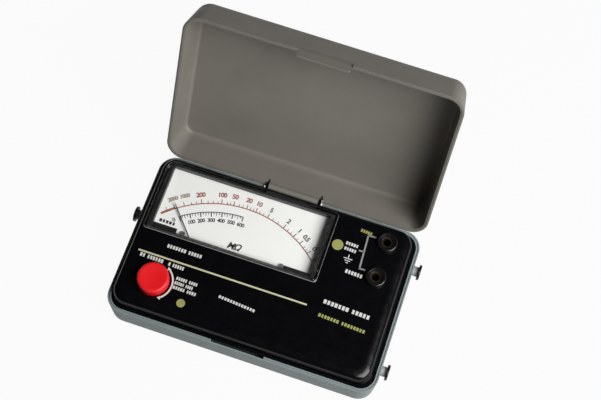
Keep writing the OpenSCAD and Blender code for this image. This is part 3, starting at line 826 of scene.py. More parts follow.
NODE_FINISHES: dict[Finish, tuple[str, ...]] = {
    CASE_GREY: ("lower_case", "battery_cover"),
    LID_GREY: ("lid_shell",),
    PANEL_BLACK: ("upper_case", "button_guide"),
    BEZEL_BLACK: ("dial_bezel",),
    TERMINAL_BLACK: ("line_terminal", "earth_terminal", "button_stem"),
    BUTTON_RED: ("test_button",),
    SWITCH_CREAM: ("switch_base", "button_slider"),
    BOX_BLACK: ("battery_box",),
    BOARD_GREEN: ("circuit_board",),
    SLEEVE_BLUE: ("capacitors",),
    CELL_SLEEVE: ("battery_cell_1", "battery_cell_2", "battery_cell_3", "battery_cell_4"),
    CLEAR: ("meter_cover",),
    DIAL_WHITE: ("dial_plate",),
    STEEL: (
        "battery_cover_screw", "case_screws", "battery_springs", "battery_plates", "dial_screws",
        "board_screws", "button_spring", "hinge_pin", "coil_pivots",
    ),
    DARK_STEEL: ("strap_studs",),
    BRASS: ("switch_contacts", "fuse_clips", "terminal_nuts", "hairspring"),
    SOCKET_BRASS_SHADED: ("line_socket", "earth_socket"),
    ALUMINIUM: ("movement_frame", "movement_bridge"),
    SOFT_IRON: ("pole_pieces", "iron_core", "transformer_core"),
    MAGNET: ("magnet_ring",),
    JEWEL: ("jewel_bearings",),
    COPPER: ("moving_coil", "transformer_winding"),
    POINTER_BLACK: ("pointer",),
    FUSE_GLASS: ("fuse",),
}


def mount(piece: Piece, finish: Finish, body: Body, slot: str, *nodes: str) -> None:
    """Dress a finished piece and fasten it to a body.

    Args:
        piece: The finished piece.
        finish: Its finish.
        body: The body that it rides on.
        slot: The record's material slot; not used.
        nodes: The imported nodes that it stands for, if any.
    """
    finish.on(piece)
    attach(piece, body.value)
    if nodes:
        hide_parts(*nodes)
    LOG.info("%s: %d faces on %s", piece.name, len(piece.data.polygons), body.value)


# Printed marks


def way_at(angle: float) -> Vector:
    """Return the direction at an angle in degrees, counted left from straight back."""
    turn = math.radians(angle)
    return Vector((-math.sin(turn), math.cos(turn)))


@dataclass
class Stencil:
    """Flat marks of one ink at one height, joined into one thin piece.

    Angles are in degrees, and those about a centre count left from straight back.
    """

    name: str
    level: float
    coat: float = 0.04
    marks: list[Piece] = field(default_factory=list)

    ARC_STEP: ClassVar[float] = 2
    FIGURE_SHARE: ClassVar[float] = 0.7
    FIGURE_WEIGHT: ClassVar[float] = 0.04
    FIGURE_SPACING: ClassVar[float] = 0.88
    FIGURE_CURVE_STEPS: ClassVar[int] = 3
    GROUP_GAP: ClassVar[float] = 0.7
    BLOCK_SHARES: ClassVar[tuple[float, ...]] = (0.78, 0.62, 0.7)

    def bar(self, centre: Spot, size: Spot, turn: float = 0) -> None:
        """Add a straight bar.

        Args:
            centre: Its middle.
            size: Its length and its width.
            turn: How far its length is turned from X.
        """
        bpy.ops.mesh.primitive_plane_add(size=1, location=mm(*centre, self.level))
        mark = named(self.name)
        mark.scale = (size[0] * MM, size[1] * MM, 1)
        mark.rotation_euler.z = math.radians(turn)
        self.marks.append(settle(mark))

    def line(self, start: Spot, end: Spot, width: float) -> None:
        """Add a straight line.

        Args:
            start: One end.
            end: The other end.
            width: The line's width.
        """
        run = Vector(end) - Vector(start)
        middle = (Vector(start) + Vector(end)) / 2
        self.bar(tuple(middle), (run.length, width), math.degrees(math.atan2(run.y, run.x)))

    def arc(self, centre: Spot, radius: float, width: float, start: float, end: float) -> None:
        """Add an arc, spun from a thin upright sliver.

        Args:
            centre: The circle's centre.
            radius: The middle line's radius.
            width: The line's width.
            start: The angle of its left end.
            end: The angle of its right end.
        """
        steps = max(2, round(abs(end - start) / self.ARC_STEP))
        sliver = 0.02
        self.bar((centre[0], centre[1] + radius), (sliver, width))
        mark = self.marks.pop()
        with editing(mark, Select.POINTS, lambda p, _: p.x < centre[0]):
            bpy.ops.mesh.delete(type="VERT")
        mark.location = mm(-sliver / 2, 0, 0)
        settle(mark)
        with editing(mark):
            bpy.ops.transform.rotate(
                value=-math.radians(start), orient_axis="Z", center_override=mm(*centre, 0)
            )
        with editing(mark, Select.POINTS):
            bpy.ops.mesh.spin(
                steps=steps,
                angle=math.radians(start - end),
                center=mm(*centre, self.level),
                axis=(0, 0, 1),
            )
        self.marks.append(mark)

    def ray(self, centre: Spot, angle: float, inner: float, outer: float, width: float) -> None:
        """Add a tick that points to a centre, between two radii."""
        place, way = Vector(centre), way_at(angle)
        self.line(tuple(place + way * inner), tuple(place + way * outer), width)

    def disc(self, centre: Spot, radius: float, sides: int, turn: float = 0) -> None:
        """Add a filled disc, or an arrowhead when it has three sides.

        Args:
            centre: Its middle.
            radius: Its radius.
            sides: Its sides.
            turn: How far it is turned.
        """
        bpy.ops.mesh.primitive_circle_add(
            vertices=sides, radius=radius * MM, fill_type="NGON", location=mm(*centre, self.level)
        )
        mark = named(self.name)
        mark.rotation_euler.z = math.radians(turn)
        self.marks.append(settle(mark))

    def figure(
        self, text: str, centre: Spot, height: float, turn: float = 0, lean: float = 0
    ) -> None:
        """Add a plain figure such as a scale number.

        Args:
            text: The figure.
            centre: Its middle.
            height: A digit's height.
            turn: How far it is turned.
            lean: How far it leans to the right.
        """
        bpy.ops.object.text_add(location=mm(*centre, self.level))
        mark = bpy.context.active_object
        mark.data.body = text
        mark.data.size = height / self.FIGURE_SHARE * MM
        mark.data.shear = lean
        mark.data.offset = height * self.FIGURE_WEIGHT * MM
        mark.data.space_character = self.FIGURE_SPACING
        mark.data.align_x = mark.data.align_y = "CENTER"
        mark.data.resolution_u = self.FIGURE_CURVE_STEPS
        mark.rotation_euler.z = math.radians(turn)
        pick(mark)
        bpy.ops.object.convert(target="MESH")
        self.marks.append(settle(named(self.name)))

    def dashes(self, start: Spot, end: Spot, height: float, groups: Sequence[int]) -> None:
        """Add a row of short blocks in groups, as plain filler.

        Args:
            start: The row's left end.
            end: The row's right end.
            height: The blocks' height.
            groups: How many blocks each group has.
        """
        run = Vector(end) - Vector(start)
        turn = math.degrees(math.atan2(run.y, run.x))
        cells = sum(groups) + self.GROUP_GAP * (len(groups) - 1)
        pitch = run.length / cells
        along, way = 0.0, run.normalized()
        for number, group in enumerate(groups):
            for block in range(group):
                share = self.BLOCK_SHARES[(block + number) % len(self.BLOCK_SHARES)]
                middle = Vector(start) + way * (along + pitch / 2)
                self.bar(tuple(middle), (pitch * share, height), turn)
                along += pitch
            along += pitch * self.GROUP_GAP

    def finish(self, ink: Finish, slot: str) -> None:
        """Join the marks, give them their coat and fasten them to the case.

        Args:
            ink: The marks' finish.
            slot: The record's material slot.
        """
        piece = weld(self.name, self.marks)
        extrude(piece, -self.coat)
        mount(piece, ink, Body.CASE, slot)


# Sub-assemblies


@dataclass
class Tray:
    """The grey lower case, with its rim groove, latch pocket, hatch and lid stops."""

    width: float = 137
    depth: float = 86
    rim: float = 18.5
    corner: float = 9
    wall: float = 1.8
    # The first step is nearly upright, which keeps the rim level when the wall is thickened.
    outside: Steps = (
        (0.002, 0.3), (0.798, 15.8), (0.2, 0.9), (0.3, 0.7), (0.4, 0.5), (0.6, 0.3),
    )
    groove: Steps = ((0.66, 0), (0, -0.45))
    pocket: Box = ((-13.4, -42.3, 14.3), (13.4, -41.05, 20))
    hinge_notch: Box = ((-15.35, 38.5, 15.9), (15.35, 44, 20))
    hatch: Box = ((-59.6, 3.75, -1), (42.8, 32.65, 4))
    hatch_ear: Box = ((42, 12.7, -1), (52, 23.7, 1.2))
    screws: tuple[Spot, ...] = ((-60, -36), (-60, 36.9), (60, -36), (60, 36.9))
    screw_seat: float = 2.7
    screw_seat_top: float = 1.5
    stop_place: float = 44
    stop_half: float = 3
    stop_low: float = 10.5
    stop_high: float = 18.1
    stop_root: float = 0.6
    stop_reach: float = 2.5
    stop_drawn_in: float = 3
    stop_fall: float = 1.25
    stop_edge: float = 0.3

    def build(self) -> None:
        """Make the tray and fasten it."""
        tray = self.shell()
        self.cut_openings(tray)
        corner_x = self.width / 2 - POINT_PLAY - self.corner
        wall_y = self.depth / 2 - POINT_PLAY

        def outer_rim(start: Vector, end: Vector) -> bool:
            """Say whether an edge runs round the outside of the rim."""
            outside = all(abs(p.x) > corner_x or abs(p.y) > wall_y for p in (start, end))
            return outside and min(start.z, end.z) > self.rim - POINT_PLAY

        soften(tray, EDGE_ROUND, spare=outer_rim)
        parts = [tray, *(self.stop(side) for side in (-1, 1))]
        mount(weld("tray", parts), CASE_GREY, Body.CASE, "case", "lower_case")

    def shell(self) -> Piece:
        """Draw the outer wall down from the rim, then give it its thickness and its groove.

        Returns:
            The shell.
        """
        tray = case_outline("tray", (self.width, self.depth), self.corner, self.rim)
        with editing(tray):
            bpy.ops.mesh.flip_normals()
        terrace(tray, self.outside)
        thicken(tray, self.wall)
        terrace(tray, self.groove, flat_faces(self.rim, 1))
        return tray

    def cut_openings(self, tray: Piece) -> None:
        """Cut the latch pocket, the hinge notch, the hatch and the screw seats.

        Args:
            tray: The shell.
        """
        for box in (self.pocket, self.hinge_notch, self.hatch, self.hatch_ear):
            combine(tray, brick("opening", *box), Join.CUT)
        for x, y in self.screws:
            seat = rod("seat", self.screw_seat, (x, y, -1), (x, y, self.screw_seat_top))
            combine(tray, seat, Join.CUT)

    def stop(self, side: int) -> Piece:
        """Make one of the two gussets that the open lid leans on.

        Args:
            side: -1 for the left one, 1 for the right one.

        Returns:
            The gusset, with its foot drawn in to the wall and its top sloped.
        """
        x, half, rear = side * self.stop_place, self.stop_half, self.depth / 2
        low, high = self.stop_low, self.stop_high
        root = (x - half, rear - self.stop_root, low)
        stop = brick("stop", root, (x + half, rear + self.stop_reach, high))
        foot, top, middle = (0, -self.stop_drawn_in, 0), (0, 0, -self.stop_fall), (low + high) / 2
        nudge(stop, foot, lambda p, _: p.y > rear and p.z < middle)
        nudge(stop, top, lambda p, _: p.y > rear and p.z > middle)
        soften(stop, self.stop_edge)
        return stop


@dataclass
class Lid:
    """The grey lid, modelled closed and then opened about the hinge."""

    width: float = 137
    depth: float = 86
    low: float = 18.55
    corner: float = 9
    wall: float = 1.7
    # The first step is nearly upright, which keeps the rim level when the wall is thickened.
    outside: Steps = (
        (0.002, 0.3), (1.598, 14.65), (0.3, 1.5), (0.6, 1.4), (0.5, 0.7), (0.8, 0.6), (1.2, 0.3),
    )
    lip: Steps = ((0.7, 0), (0, 0.28))
    hinge: Spot = (43, 18.5)
    opened: float = 116
    slope: Box = ((-13.4, -44, 18), (13.4, -41.73, 20.7))
    slope_run: float = 1.07
    tongue: Box = ((-13, -42.15, 14.7), (13, -41.4, 20.5))
    tongue_round: float = 0.8
    bead: float = 0.3
    bead_ends: Box = ((-10, -41.4, 15.7), (10, -41.4, 15.7))
    barrel: float = 2.2
    barrel_half: float = 13
    pin_bore: float = 1.05
    slit: float = 1.9
    slit_depth: Spot = (-5, 3)
    slit_height: Spot = (-3, 2.4)
    groove: float = 1
    groove_depth: Spot = (-5, -0.7)
    groove_height: Spot = (2, 3.8)

    def build(self) -> None:
        """Make the lid and fasten it."""
        lid = self.shell()
        self.add_tongue(lid)
        self.add_barrel(lid)
        low, rear = self.low + POINT_PLAY, self.depth / 2 - POINT_PLAY

        def rear_rim(start: Vector, end: Vector) -> bool:
            """Say whether an edge runs along the rim's rear side."""
            return max(start.z, end.z) < low and min(start.y, end.y) > rear

        soften(lid, EDGE_ROUND, spare=rear_rim)
        self.open(lid)
        mount(lid, LID_GREY, Body.LID, "lid", "lid_shell")

    def shell(self) -> Piece:
        """Draw the outer wall up from the rim, give it its thickness and its lip.

        Returns:
            The shell.
        """
        lid = case_outline("lid", (self.width, self.depth), self.corner, self.low)
        terrace(lid, self.outside)
        thicken(lid, self.wall)
        terrace(lid, self.lip, flat_faces(self.low, -1))
        return lid

    def add_tongue(self, lid: Piece) -> None:
        """Weld on the front tongue with its bead, under a slope in the lid's front.

        Args:
            lid: The shell.
        """
        slope = brick("slope", *self.slope)
        front, top = -self.depth / 2, self.slope[1][2] - POINT_PLAY
        nudge(slope, (0, -self.slope_run, 0), lambda p, _: p.y > front and p.z > top)
        combine(lid, slope, Join.CUT)
        tongue = brick("tongue", *self.tongue)
        low = self.tongue[0][2] + POINT_PLAY

        def low_corner(start: Vector, end: Vector) -> bool:
            """Say whether an edge runs through the tongue at a lower corner."""
            return max(start.z, end.z) < low and abs(start.x - end.x) < POINT_PLAY

        round_edges(tongue, self.tongue_round, 4, low_corner)
        combine(lid, tongue, Join.WELD)
        combine(lid, rod("bead", self.bead, *self.bead_ends, sides=24), Join.WELD)

    def add_barrel(self, lid: Piece) -> None:
        """Weld on the hinge barrel, cut the slits and grooves beside it, and bore it.

        Args:
            lid: The shell.
        """
        half = self.barrel_half
        y, z = self.hinge
        combine(lid, rod("barrel", self.barrel, (-half, y, z), (half, y, z)), Join.WELD)
        for side in (-1, 1):
            x = side * (half + self.slit / 2)
            for width, depth, height in (
                (self.slit, self.slit_depth, self.slit_height),
                (self.groove, self.groove_depth, self.groove_height),
            ):
                low = (x - width / 2, y + depth[0], z + height[0])
                high = (x + width / 2, y + depth[1], z + height[1])
                combine(lid, brick("slit", low, high), Join.CUT)
        bore = rod("bore", self.pin_bore, (-half - 1, y, z), (half + 1, y, z))
        combine(lid, bore, Join.CUT)

    def open(self, lid: Piece) -> None:
        """Turn the closed lid open about the hinge.

        Args:
            lid: The closed lid.
        """
        turn = Matrix.Rotation(-math.radians(self.opened), 4, "X")
        axis = Matrix.Translation(mm(0, *self.hinge))
        lid.matrix_world = axis @ turn @ axis.inverted()
        settle(lid)


@dataclass
class Panel:
    """The black upper case with the raised panel, its openings and its hinge ears."""

    width: float = 133.1
    depth: float = 82.1
    corner: float = 7.44
    low: float = 16.3
    wall: float = 1.2
    outside: Steps = (
        (0.02, 2.08), (0.23, 0.02), (0.15, 1.9), (0.1, 1.3), (0.09, 0.5), (0.16, 0.4),
        (0.2, 0.28), (0.25, 0.22), (0.23, 0.17), (0.27, 0.13), (0.4, 0.12), (0.5, 0.08),
    )
    # Levels, and how far the points above each one move.
    shoulder: tuple[Spot, ...] = (
        (18.39, 1.2), (19, 0.2), (21, 0.5), (21.9, 0.25), (22.3, 0.25), (22.6, 0.28),
        (22.9, 0.32), (23.05, 0.35), (23.2, 0.35), (23.35, 0.35), (23.45, 0.35),
    )
    meter_play: float = 0.15
    button: Spot = (-48.9, -23.9)
    button_hole: float = 8.05
    sockets: tuple[Spot, ...] = ((52.3, 12.5), (52.3, 31.5))
    socket_hole: float = 4.51
    holes_low: float = 15
    holes_high: float = 30
    barrel_notch: Box = ((-14.9, 37.8, 10), (14.9, 43, 21))
    web: Box = ((-15.9, 37.35, 16.5), (15.9, 37.8, 19.1))
    hinge: Spot = (43, 18.5)
    ear: float = 2.2
    ear_place: float = 13.95
    ear_half: float = 0.7
    arm_front: float = 37.6
    arm_low: float = 16.4

    def build(self) -> None:
        """Make the upper case and fasten it."""
        panel = case_outline("panel", (self.width, self.depth), self.corner, self.low)
        terrace(panel, self.outside)
        self.broaden(panel)
        thicken(panel, self.wall)
        self.cut_openings(panel)
        self.add_ears(panel)
        soften(panel, EDGE_ROUND)
        mount(panel, PANEL_BLACK, Body.CASE, "panel", "upper_case")

    def broaden(self, panel: Piece) -> None:
        """Draw the raised panel's shoulder in further to the front and to the right.

        Args:
            panel: The skin, whose points above each level move.
        """
        for level, more in self.shoulder:
            nudge(panel, (-more, 0, 0), lambda p, _: p.z > level and p.x > 0)
            nudge(panel, (0, more, 0), lambda p, _: p.z > level and p.y < 0)

    def cut_openings(self, panel: Piece) -> None:
        """Cut the meter opening, the round holes and the notch for the lid's barrel.

        Args:
            panel: The shell.
        """
        low, high = self.holes_low, self.holes_high
        meter = Cover().outline("meter_opening", self.meter_play, low)
        extrude(meter, high - low)
        combine(panel, meter, Join.CUT)
        x, y = self.button
        hole = rod("hole", self.button_hole, (x, y, low), (x, y, high), sides=64)
        combine(panel, hole, Join.CUT)
        for x, y in self.sockets:
            hole = rod("hole", self.socket_hole, (x, y, low), (x, y, high))
            combine(panel, hole, Join.CUT)
        combine(panel, brick("notch", *self.barrel_notch), Join.CUT)

    def add_ears(self, panel: Piece) -> None:
        """Weld on the two ears that hold the hinge pin, and close the notch in front.

        Args:
            panel: The shell.
        """
        combine(panel, brick("web", *self.web), Join.WELD)
        y, z = self.hinge
        for side in (-1, 1):
            low, high = (side * self.ear_place + half for half in (-self.ear_half, self.ear_half))
            ear = rod("ear", self.ear, (low, y, z), (high, y, z))
            arm = brick("arm", (low, self.arm_front, self.arm_low), (high, y, z))
            combine(ear, arm, Join.WELD)
            combine(panel, ear, Join.WELD)


@dataclass
class Cover:
    """The clear cover over the dial, with a painted highlight along its outer edge."""

    left: float = -64.2
    right: float = 25.5
    front: float = 0.6
    rear: float = 38.9
    low: float = 19.1
    corner: float = 5
    small_corner: float = 1.6
    corner_steps: int = 6
    wall: float = 1.5
    outside: Steps = ((0.05, 4.1), (0.1, 0.45), (0.2, 0.33), (0.3, 0.22), (0.4, 0.1))
    bezel_room: Box = ((-61.6, -1, 18), (22.9, 3.1, 20.6))
    barrel_room: Box = ((-14.9, 37.8, 18), (14.9, 43, 21.1))
    # Where the painted highlight ring on the cover's edge lies: its play, its height and its
    # width.
    highlight_play: float = 0.02
    highlight_level: float = 23.1
    highlight_width: float = 0.35

    def outline(self, name: str, play: float, height: float) -> Piece:
        """Make the cover's outline as a flat face.

        Args:
            name: The piece's name.
            play: How far the outline is drawn out.
            height: The face's height.

        Returns:
            The flat face, its rear left corner rounded more than the others.
        """
        size = (self.right - self.left + 2 * play, self.rear - self.front + 2 * play)
        centre = ((self.left + self.right) / 2, (self.front + self.rear) / 2)
        plate = flat_plate(name, size, height, centre)
        x, y, steps = self.left - play, self.rear + play, self.corner_steps

        def off_corner(point: Vector, distance: float) -> bool:
            """Say whether a point is further than this from the rear left corner."""
            return point.x > x + distance or point.y < y - distance

        round_corners(
            plate, self.corner + play, steps, lambda p, _: not off_corner(p, POINT_PLAY)
        )
        round_corners(plate, self.small_corner, steps, lambda p, _: off_corner(p, 2 * self.corner))
        return plate

    def build(self) -> None:
        """Make the cover, fasten it and lay its painted edge highlight."""
        cover = self.outline("clear_cover", 0, self.low)
        terrace(cover, self.outside)
        thicken(cover, self.wall)
        for box in (self.bezel_room, self.barrel_room):
            combine(cover, brick("room", *box), Join.CUT)
        shade(cover, SMOOTH_ANGLE)
        mount(cover, CLEAR, Body.CASE, "clear_cover", "meter_cover")
        self.edge()

    def edge(self) -> None:
        """Lay a pale grey ring on the cover's outer edge: a painted highlight for the light line
        that edge collects.
        """
        line = self.outline("painted_cover_highlight_ring", self.highlight_play, self.highlight_level)
        terrace(line, ((self.highlight_width, self.highlight_width),))
        with editing(line, Select.FACES, lambda middle, normal: normal.z > 0.99):
            bpy.ops.mesh.delete(type="FACE")
        shade(line, SMOOTH_ANGLE)
        mount(line, PAINTED_COVER_HIGHLIGHT, Body.CASE, "clear_cover")


@dataclass
class BezelFeet:
    """The two low black bars along the front of the dial."""

    bars: tuple[Box, ...] = (
        ((-61.5, 2.6, 18.64), (-48.1, 6.1, 19.3)),
        ((7.6, 2.6, 18.64), (22.2, 5.4, 19.3)),
    )
    edge: float = 0.2

    def build(self) -> None:
        """Make the bars and fasten them."""
        bars = [brick("bar", *box) for box in self.bars]
        for bar in bars:
            soften(bar, self.edge)
        mount(weld("bezel_feet", bars), BEZEL_BLACK, Body.CASE, "panel")


@dataclass
class PushButton:
    """The red cap with its round edge, its shallow dish and its hollow underside."""

    centre: Spot = (-48.9, -23.9)
    radius: float = 7.75
    low: float = 19.5
    top: float = 28.6
    edge: float = 1.0
    dish: Steps = ((0.5, 0), (0.5, -0.03), (1.2, -0.12), (1.6, -0.1), (1.8, -0.06))
    hollow: Steps = ((1.6, 0), (0, -5), (3.0, 0), (0, 3))

    def build(self) -> None:
        """Make the cap and fasten it."""
        x, y = self.centre
        cap = rod("red_cap", self.radius, (x, y, self.low), (x, y, self.top), sides=72)
        round_edges(cap, self.edge, 5, edges_at_top(self.top))
        terrace(cap, self.dish, flat_faces(self.top, 1, 0.99))
        terrace(cap, self.hollow, flat_faces(self.low, -1, 0.99))
        shade(cap, SMOOTH_ANGLE)
        mount(cap, BUTTON_RED, Body.BUTTON, "button", "test_button")


@dataclass
class Terminals:
    """The two black terminals with their raised collars."""

    x: float = 52.3
    rows: tuple[tuple[str, float], ...] = (("line_terminal", 31.5), ("earth_terminal", 12.5))
    low: float = 12
    panel: float = 23.5
    top: float = 26
    ring: float = 4.5
    collar: float = 5
    collar_edge: float = 0.6
    hole: float = 2.9
    mouth: float = 3.9
    mouth_depth: float = 0.6

    def build(self) -> None:
        """Make both terminals and fasten them."""
        for node, y in self.rows:
            foot, step, top = ((self.x, y, z) for z in (self.low, self.panel, self.top))
            below, above = (self.x, y, self.low - 1), (self.x, y, self.top + 1)
            body = rod(node + "_ring", self.ring, foot, step)
            collar = rod("collar", self.collar, step, top)
            round_edges(collar, self.collar_edge, 4, edges_at_top(self.top))
            combine(body, collar, Join.WELD)
            combine(body, rod("hole", self.hole, below, above), Join.CUT)
            floor = (self.x, y, self.top - self.mouth_depth)
            combine(body, rod("mouth", self.mouth, floor, above), Join.CUT)
            soften(body, EDGE_ROUND)
            mount(body, TERMINAL_BLACK, Body.CASE, "terminal", node)


@dataclass
class StrapStuds:
    """The headed studs on the side walls."""

    spots: tuple[tuple[int, float], ...] = ((1, 26.5), (1, -27.5), (-1, 9.6))
    height: float = 12
    inner: float = 63.9
    outer: float = 72.3
    stem: float = 2.5
    head: float = 3.9
    head_thickness: float = 1.3
    head_edge: float = 0.4
    head_back_edge: float = 0.12

    def build(self) -> None:
        """Make the stems and the heads, and fasten them; the stems are a paler grey than the heads
        as painted light.
        """
        stems, heads = [], []
        face = self.outer - 0.1
        for side, y in self.spots:
            foot, neck, end = (
                (side * reach, y, self.height)
                for reach in (self.inner, self.outer - self.head_thickness, self.outer)
            )
            stems.append(rod("stem", self.stem, foot, neck, sides=40))
            head = rod("head", self.head, neck, end)
            round_edges(
                head, self.head_edge, 3, lambda a, b: abs(a.x) > face and abs(b.x) > face
            )
            soften(head, self.head_back_edge)
            heads.append(head)
        stem = weld("stud_stems", stems)
        shade(stem)
        mount(stem, STUD_STEM_PAINTED_LIGHT, Body.CASE, "stud", "strap_studs")
        mount(weld("stud_heads", heads), DARK_STEEL, Body.CASE, "stud")


@dataclass(frozen=True)
class ScaleMarks:
    """What one ink prints of the long scale.

    Attributes:
        name: The piece's name.
        ink: The ink.
        lift: How far it lies above the plate.
        arcs: Each arc's distance outside the scale's line, its width, and its two angles.
        numbers: Each number and its angle.
        height: The numbers' height.
        reach: How far the numbers stand outside the scale's line.
        ticks: Angles of ticks, with these ticks' length and width.
    """

    name: str
    ink: Finish
    lift: float
    arcs: tuple[tuple[float, float, float, float], ...]
    numbers: tuple[tuple[str, float], ...]
    height: float
    reach: float
    ticks: tuple[tuple[tuple[float, ...], float, float], ...]


LONG_SCALE = (
    ScaleMarks(
        "dial_tan_marks",
        INK_TAN,
        lift=0.02,
        arcs=((0.3, 1.2, 45, 37.5),),
        numbers=(("2000", 36.9), ("1000", 31.2)),
        height=2,
        reach=5.2,
        ticks=(((41.5, 37.5, 32.5), 2.4, 0.34),),
    ),
    ScaleMarks(
        "dial_red_scale",
        INK_RED,
        lift=0.025,
        arcs=((0, 0.5, 45, -43.5),),
        numbers=(("200", 23.7), ("100", 13.5), ("50", 7.3), ("20", 0.5), ("10", -4.5)),
        height=2.4,
        reach=4.7,
        ticks=(
            ((23.7, 13.5, 7.3, 0.5, -4.5), 2.4, 0.42),
            ((28.8, 26.2, 20.4, 17.8, 15.4, 10.6, 9, 4.6, 2.6, -1.4, -3), 1.5, 0.3),
        ),
    ),
    ScaleMarks(
        "dial_dark_numbers",
        INK_BLACK,
        lift=0.02,
        arcs=(),
        numbers=(("5", -11.1), ("2", -20.9), ("1", -27.8), ("0.5", -32.6), ("0", -39)),
        height=2.4,
        reach=4.5,
        ticks=(
            ((-11.1, -20.9, -27.8, -32.6, -39, -43.4), 2.4, 0.42),
            ((-6.4, -8.6, -14, -17.2, -23.4, -25.6, -30.2, -35.6, -37.4), 1.4, 0.3),
        ),
    ),
)


@dataclass
class Dial:
    """The printed scales on the white plate."""

    centre: Spot = (-19, -28.5)
    level: float = 18.64
    arc: float = 56.1
    inner_arc: float = 51.4
    inner_lift: float = 0.02
    inner_ends: Spot = (36.7, 0.6)
    inner_first: float = 30.6
    inner_pitch: float = 6
    inner_count: int = 6
    inner_parts: tuple[Spot, ...] = ((1.5, 1.3), (3, 1.8), (4.5, 1.3))
    inner_line: float = 0.45
    inner_tick: Spot = (2.4, 0.5)
    inner_part_width: float = 0.3
    inner_reach: float = 4.4
    inner_height: float = 1.95
    zero_height: float = 2.1
    zero_turn: float = 37
    unit_height: float = 3.2
    unit_lean: float = 0.3
    zero: Spot = (-51.5, 10.2)
    unit: Spot = (-18.8, 6.6)
    filler: Row = ((-58.5, 8.1), (-50, 8.1), 1.6, (5,))

    def build(self) -> None:
        """Print the long scale and the short black one."""
        for marks in LONG_SCALE:
            self.long_scale(marks)
        self.black_scale()

    def place(self, angle: float, radius: float) -> Spot:
        """Return the spot at an angle, left from straight back, and a radius."""
        return tuple(Vector(self.centre) + way_at(angle) * radius)

    def long_scale(self, marks: ScaleMarks) -> None:
        """Print what one ink prints of the long scale.

        Args:
            marks: The ink's marks.
        """
        ink = Stencil(marks.name, self.level + marks.lift)
        for out, width, start, end in marks.arcs:
            ink.arc(self.centre, self.arc + out, width, start, end)
        for text, angle in marks.numbers:
            ink.figure(text, self.place(angle, self.arc + marks.reach), marks.height, angle)
        for angles, length, width in marks.ticks:
            for angle in angles:
                ink.ray(self.centre, angle, self.arc, self.arc + length, width)
        ink.finish(marks.ink, "dial")

    def black_scale(self) -> None:
        """Print the short inner scale and the unit mark."""
        ink = Stencil("dial_black_scale", self.level + self.inner_lift)
        length, width = self.inner_tick
        outer, inner = self.inner_arc, self.inner_arc - length
        ink.arc(self.centre, outer, self.inner_line, *self.inner_ends)
        for number in range(self.inner_count):
            angle = self.inner_first - self.inner_pitch * number
            spot = self.place(angle, outer - self.inner_reach)
            ink.ray(self.centre, angle, inner, outer, width)
            ink.figure(f"{number + 1}00", spot, self.inner_height, angle)
            for part, length in self.inner_parts:
                ink.ray(self.centre, angle + part, outer - length, outer, self.inner_part_width)
        ink.ray(self.centre, self.inner_first + self.inner_pitch, inner, outer, width)
        ink.figure("0", self.zero, self.zero_height, self.zero_turn)
        ink.figure("MΩ", self.unit, self.unit_height, lean=self.unit_lean)
        ink.dashes(*self.filler)
        ink.finish(INK_BLACK, "dial")


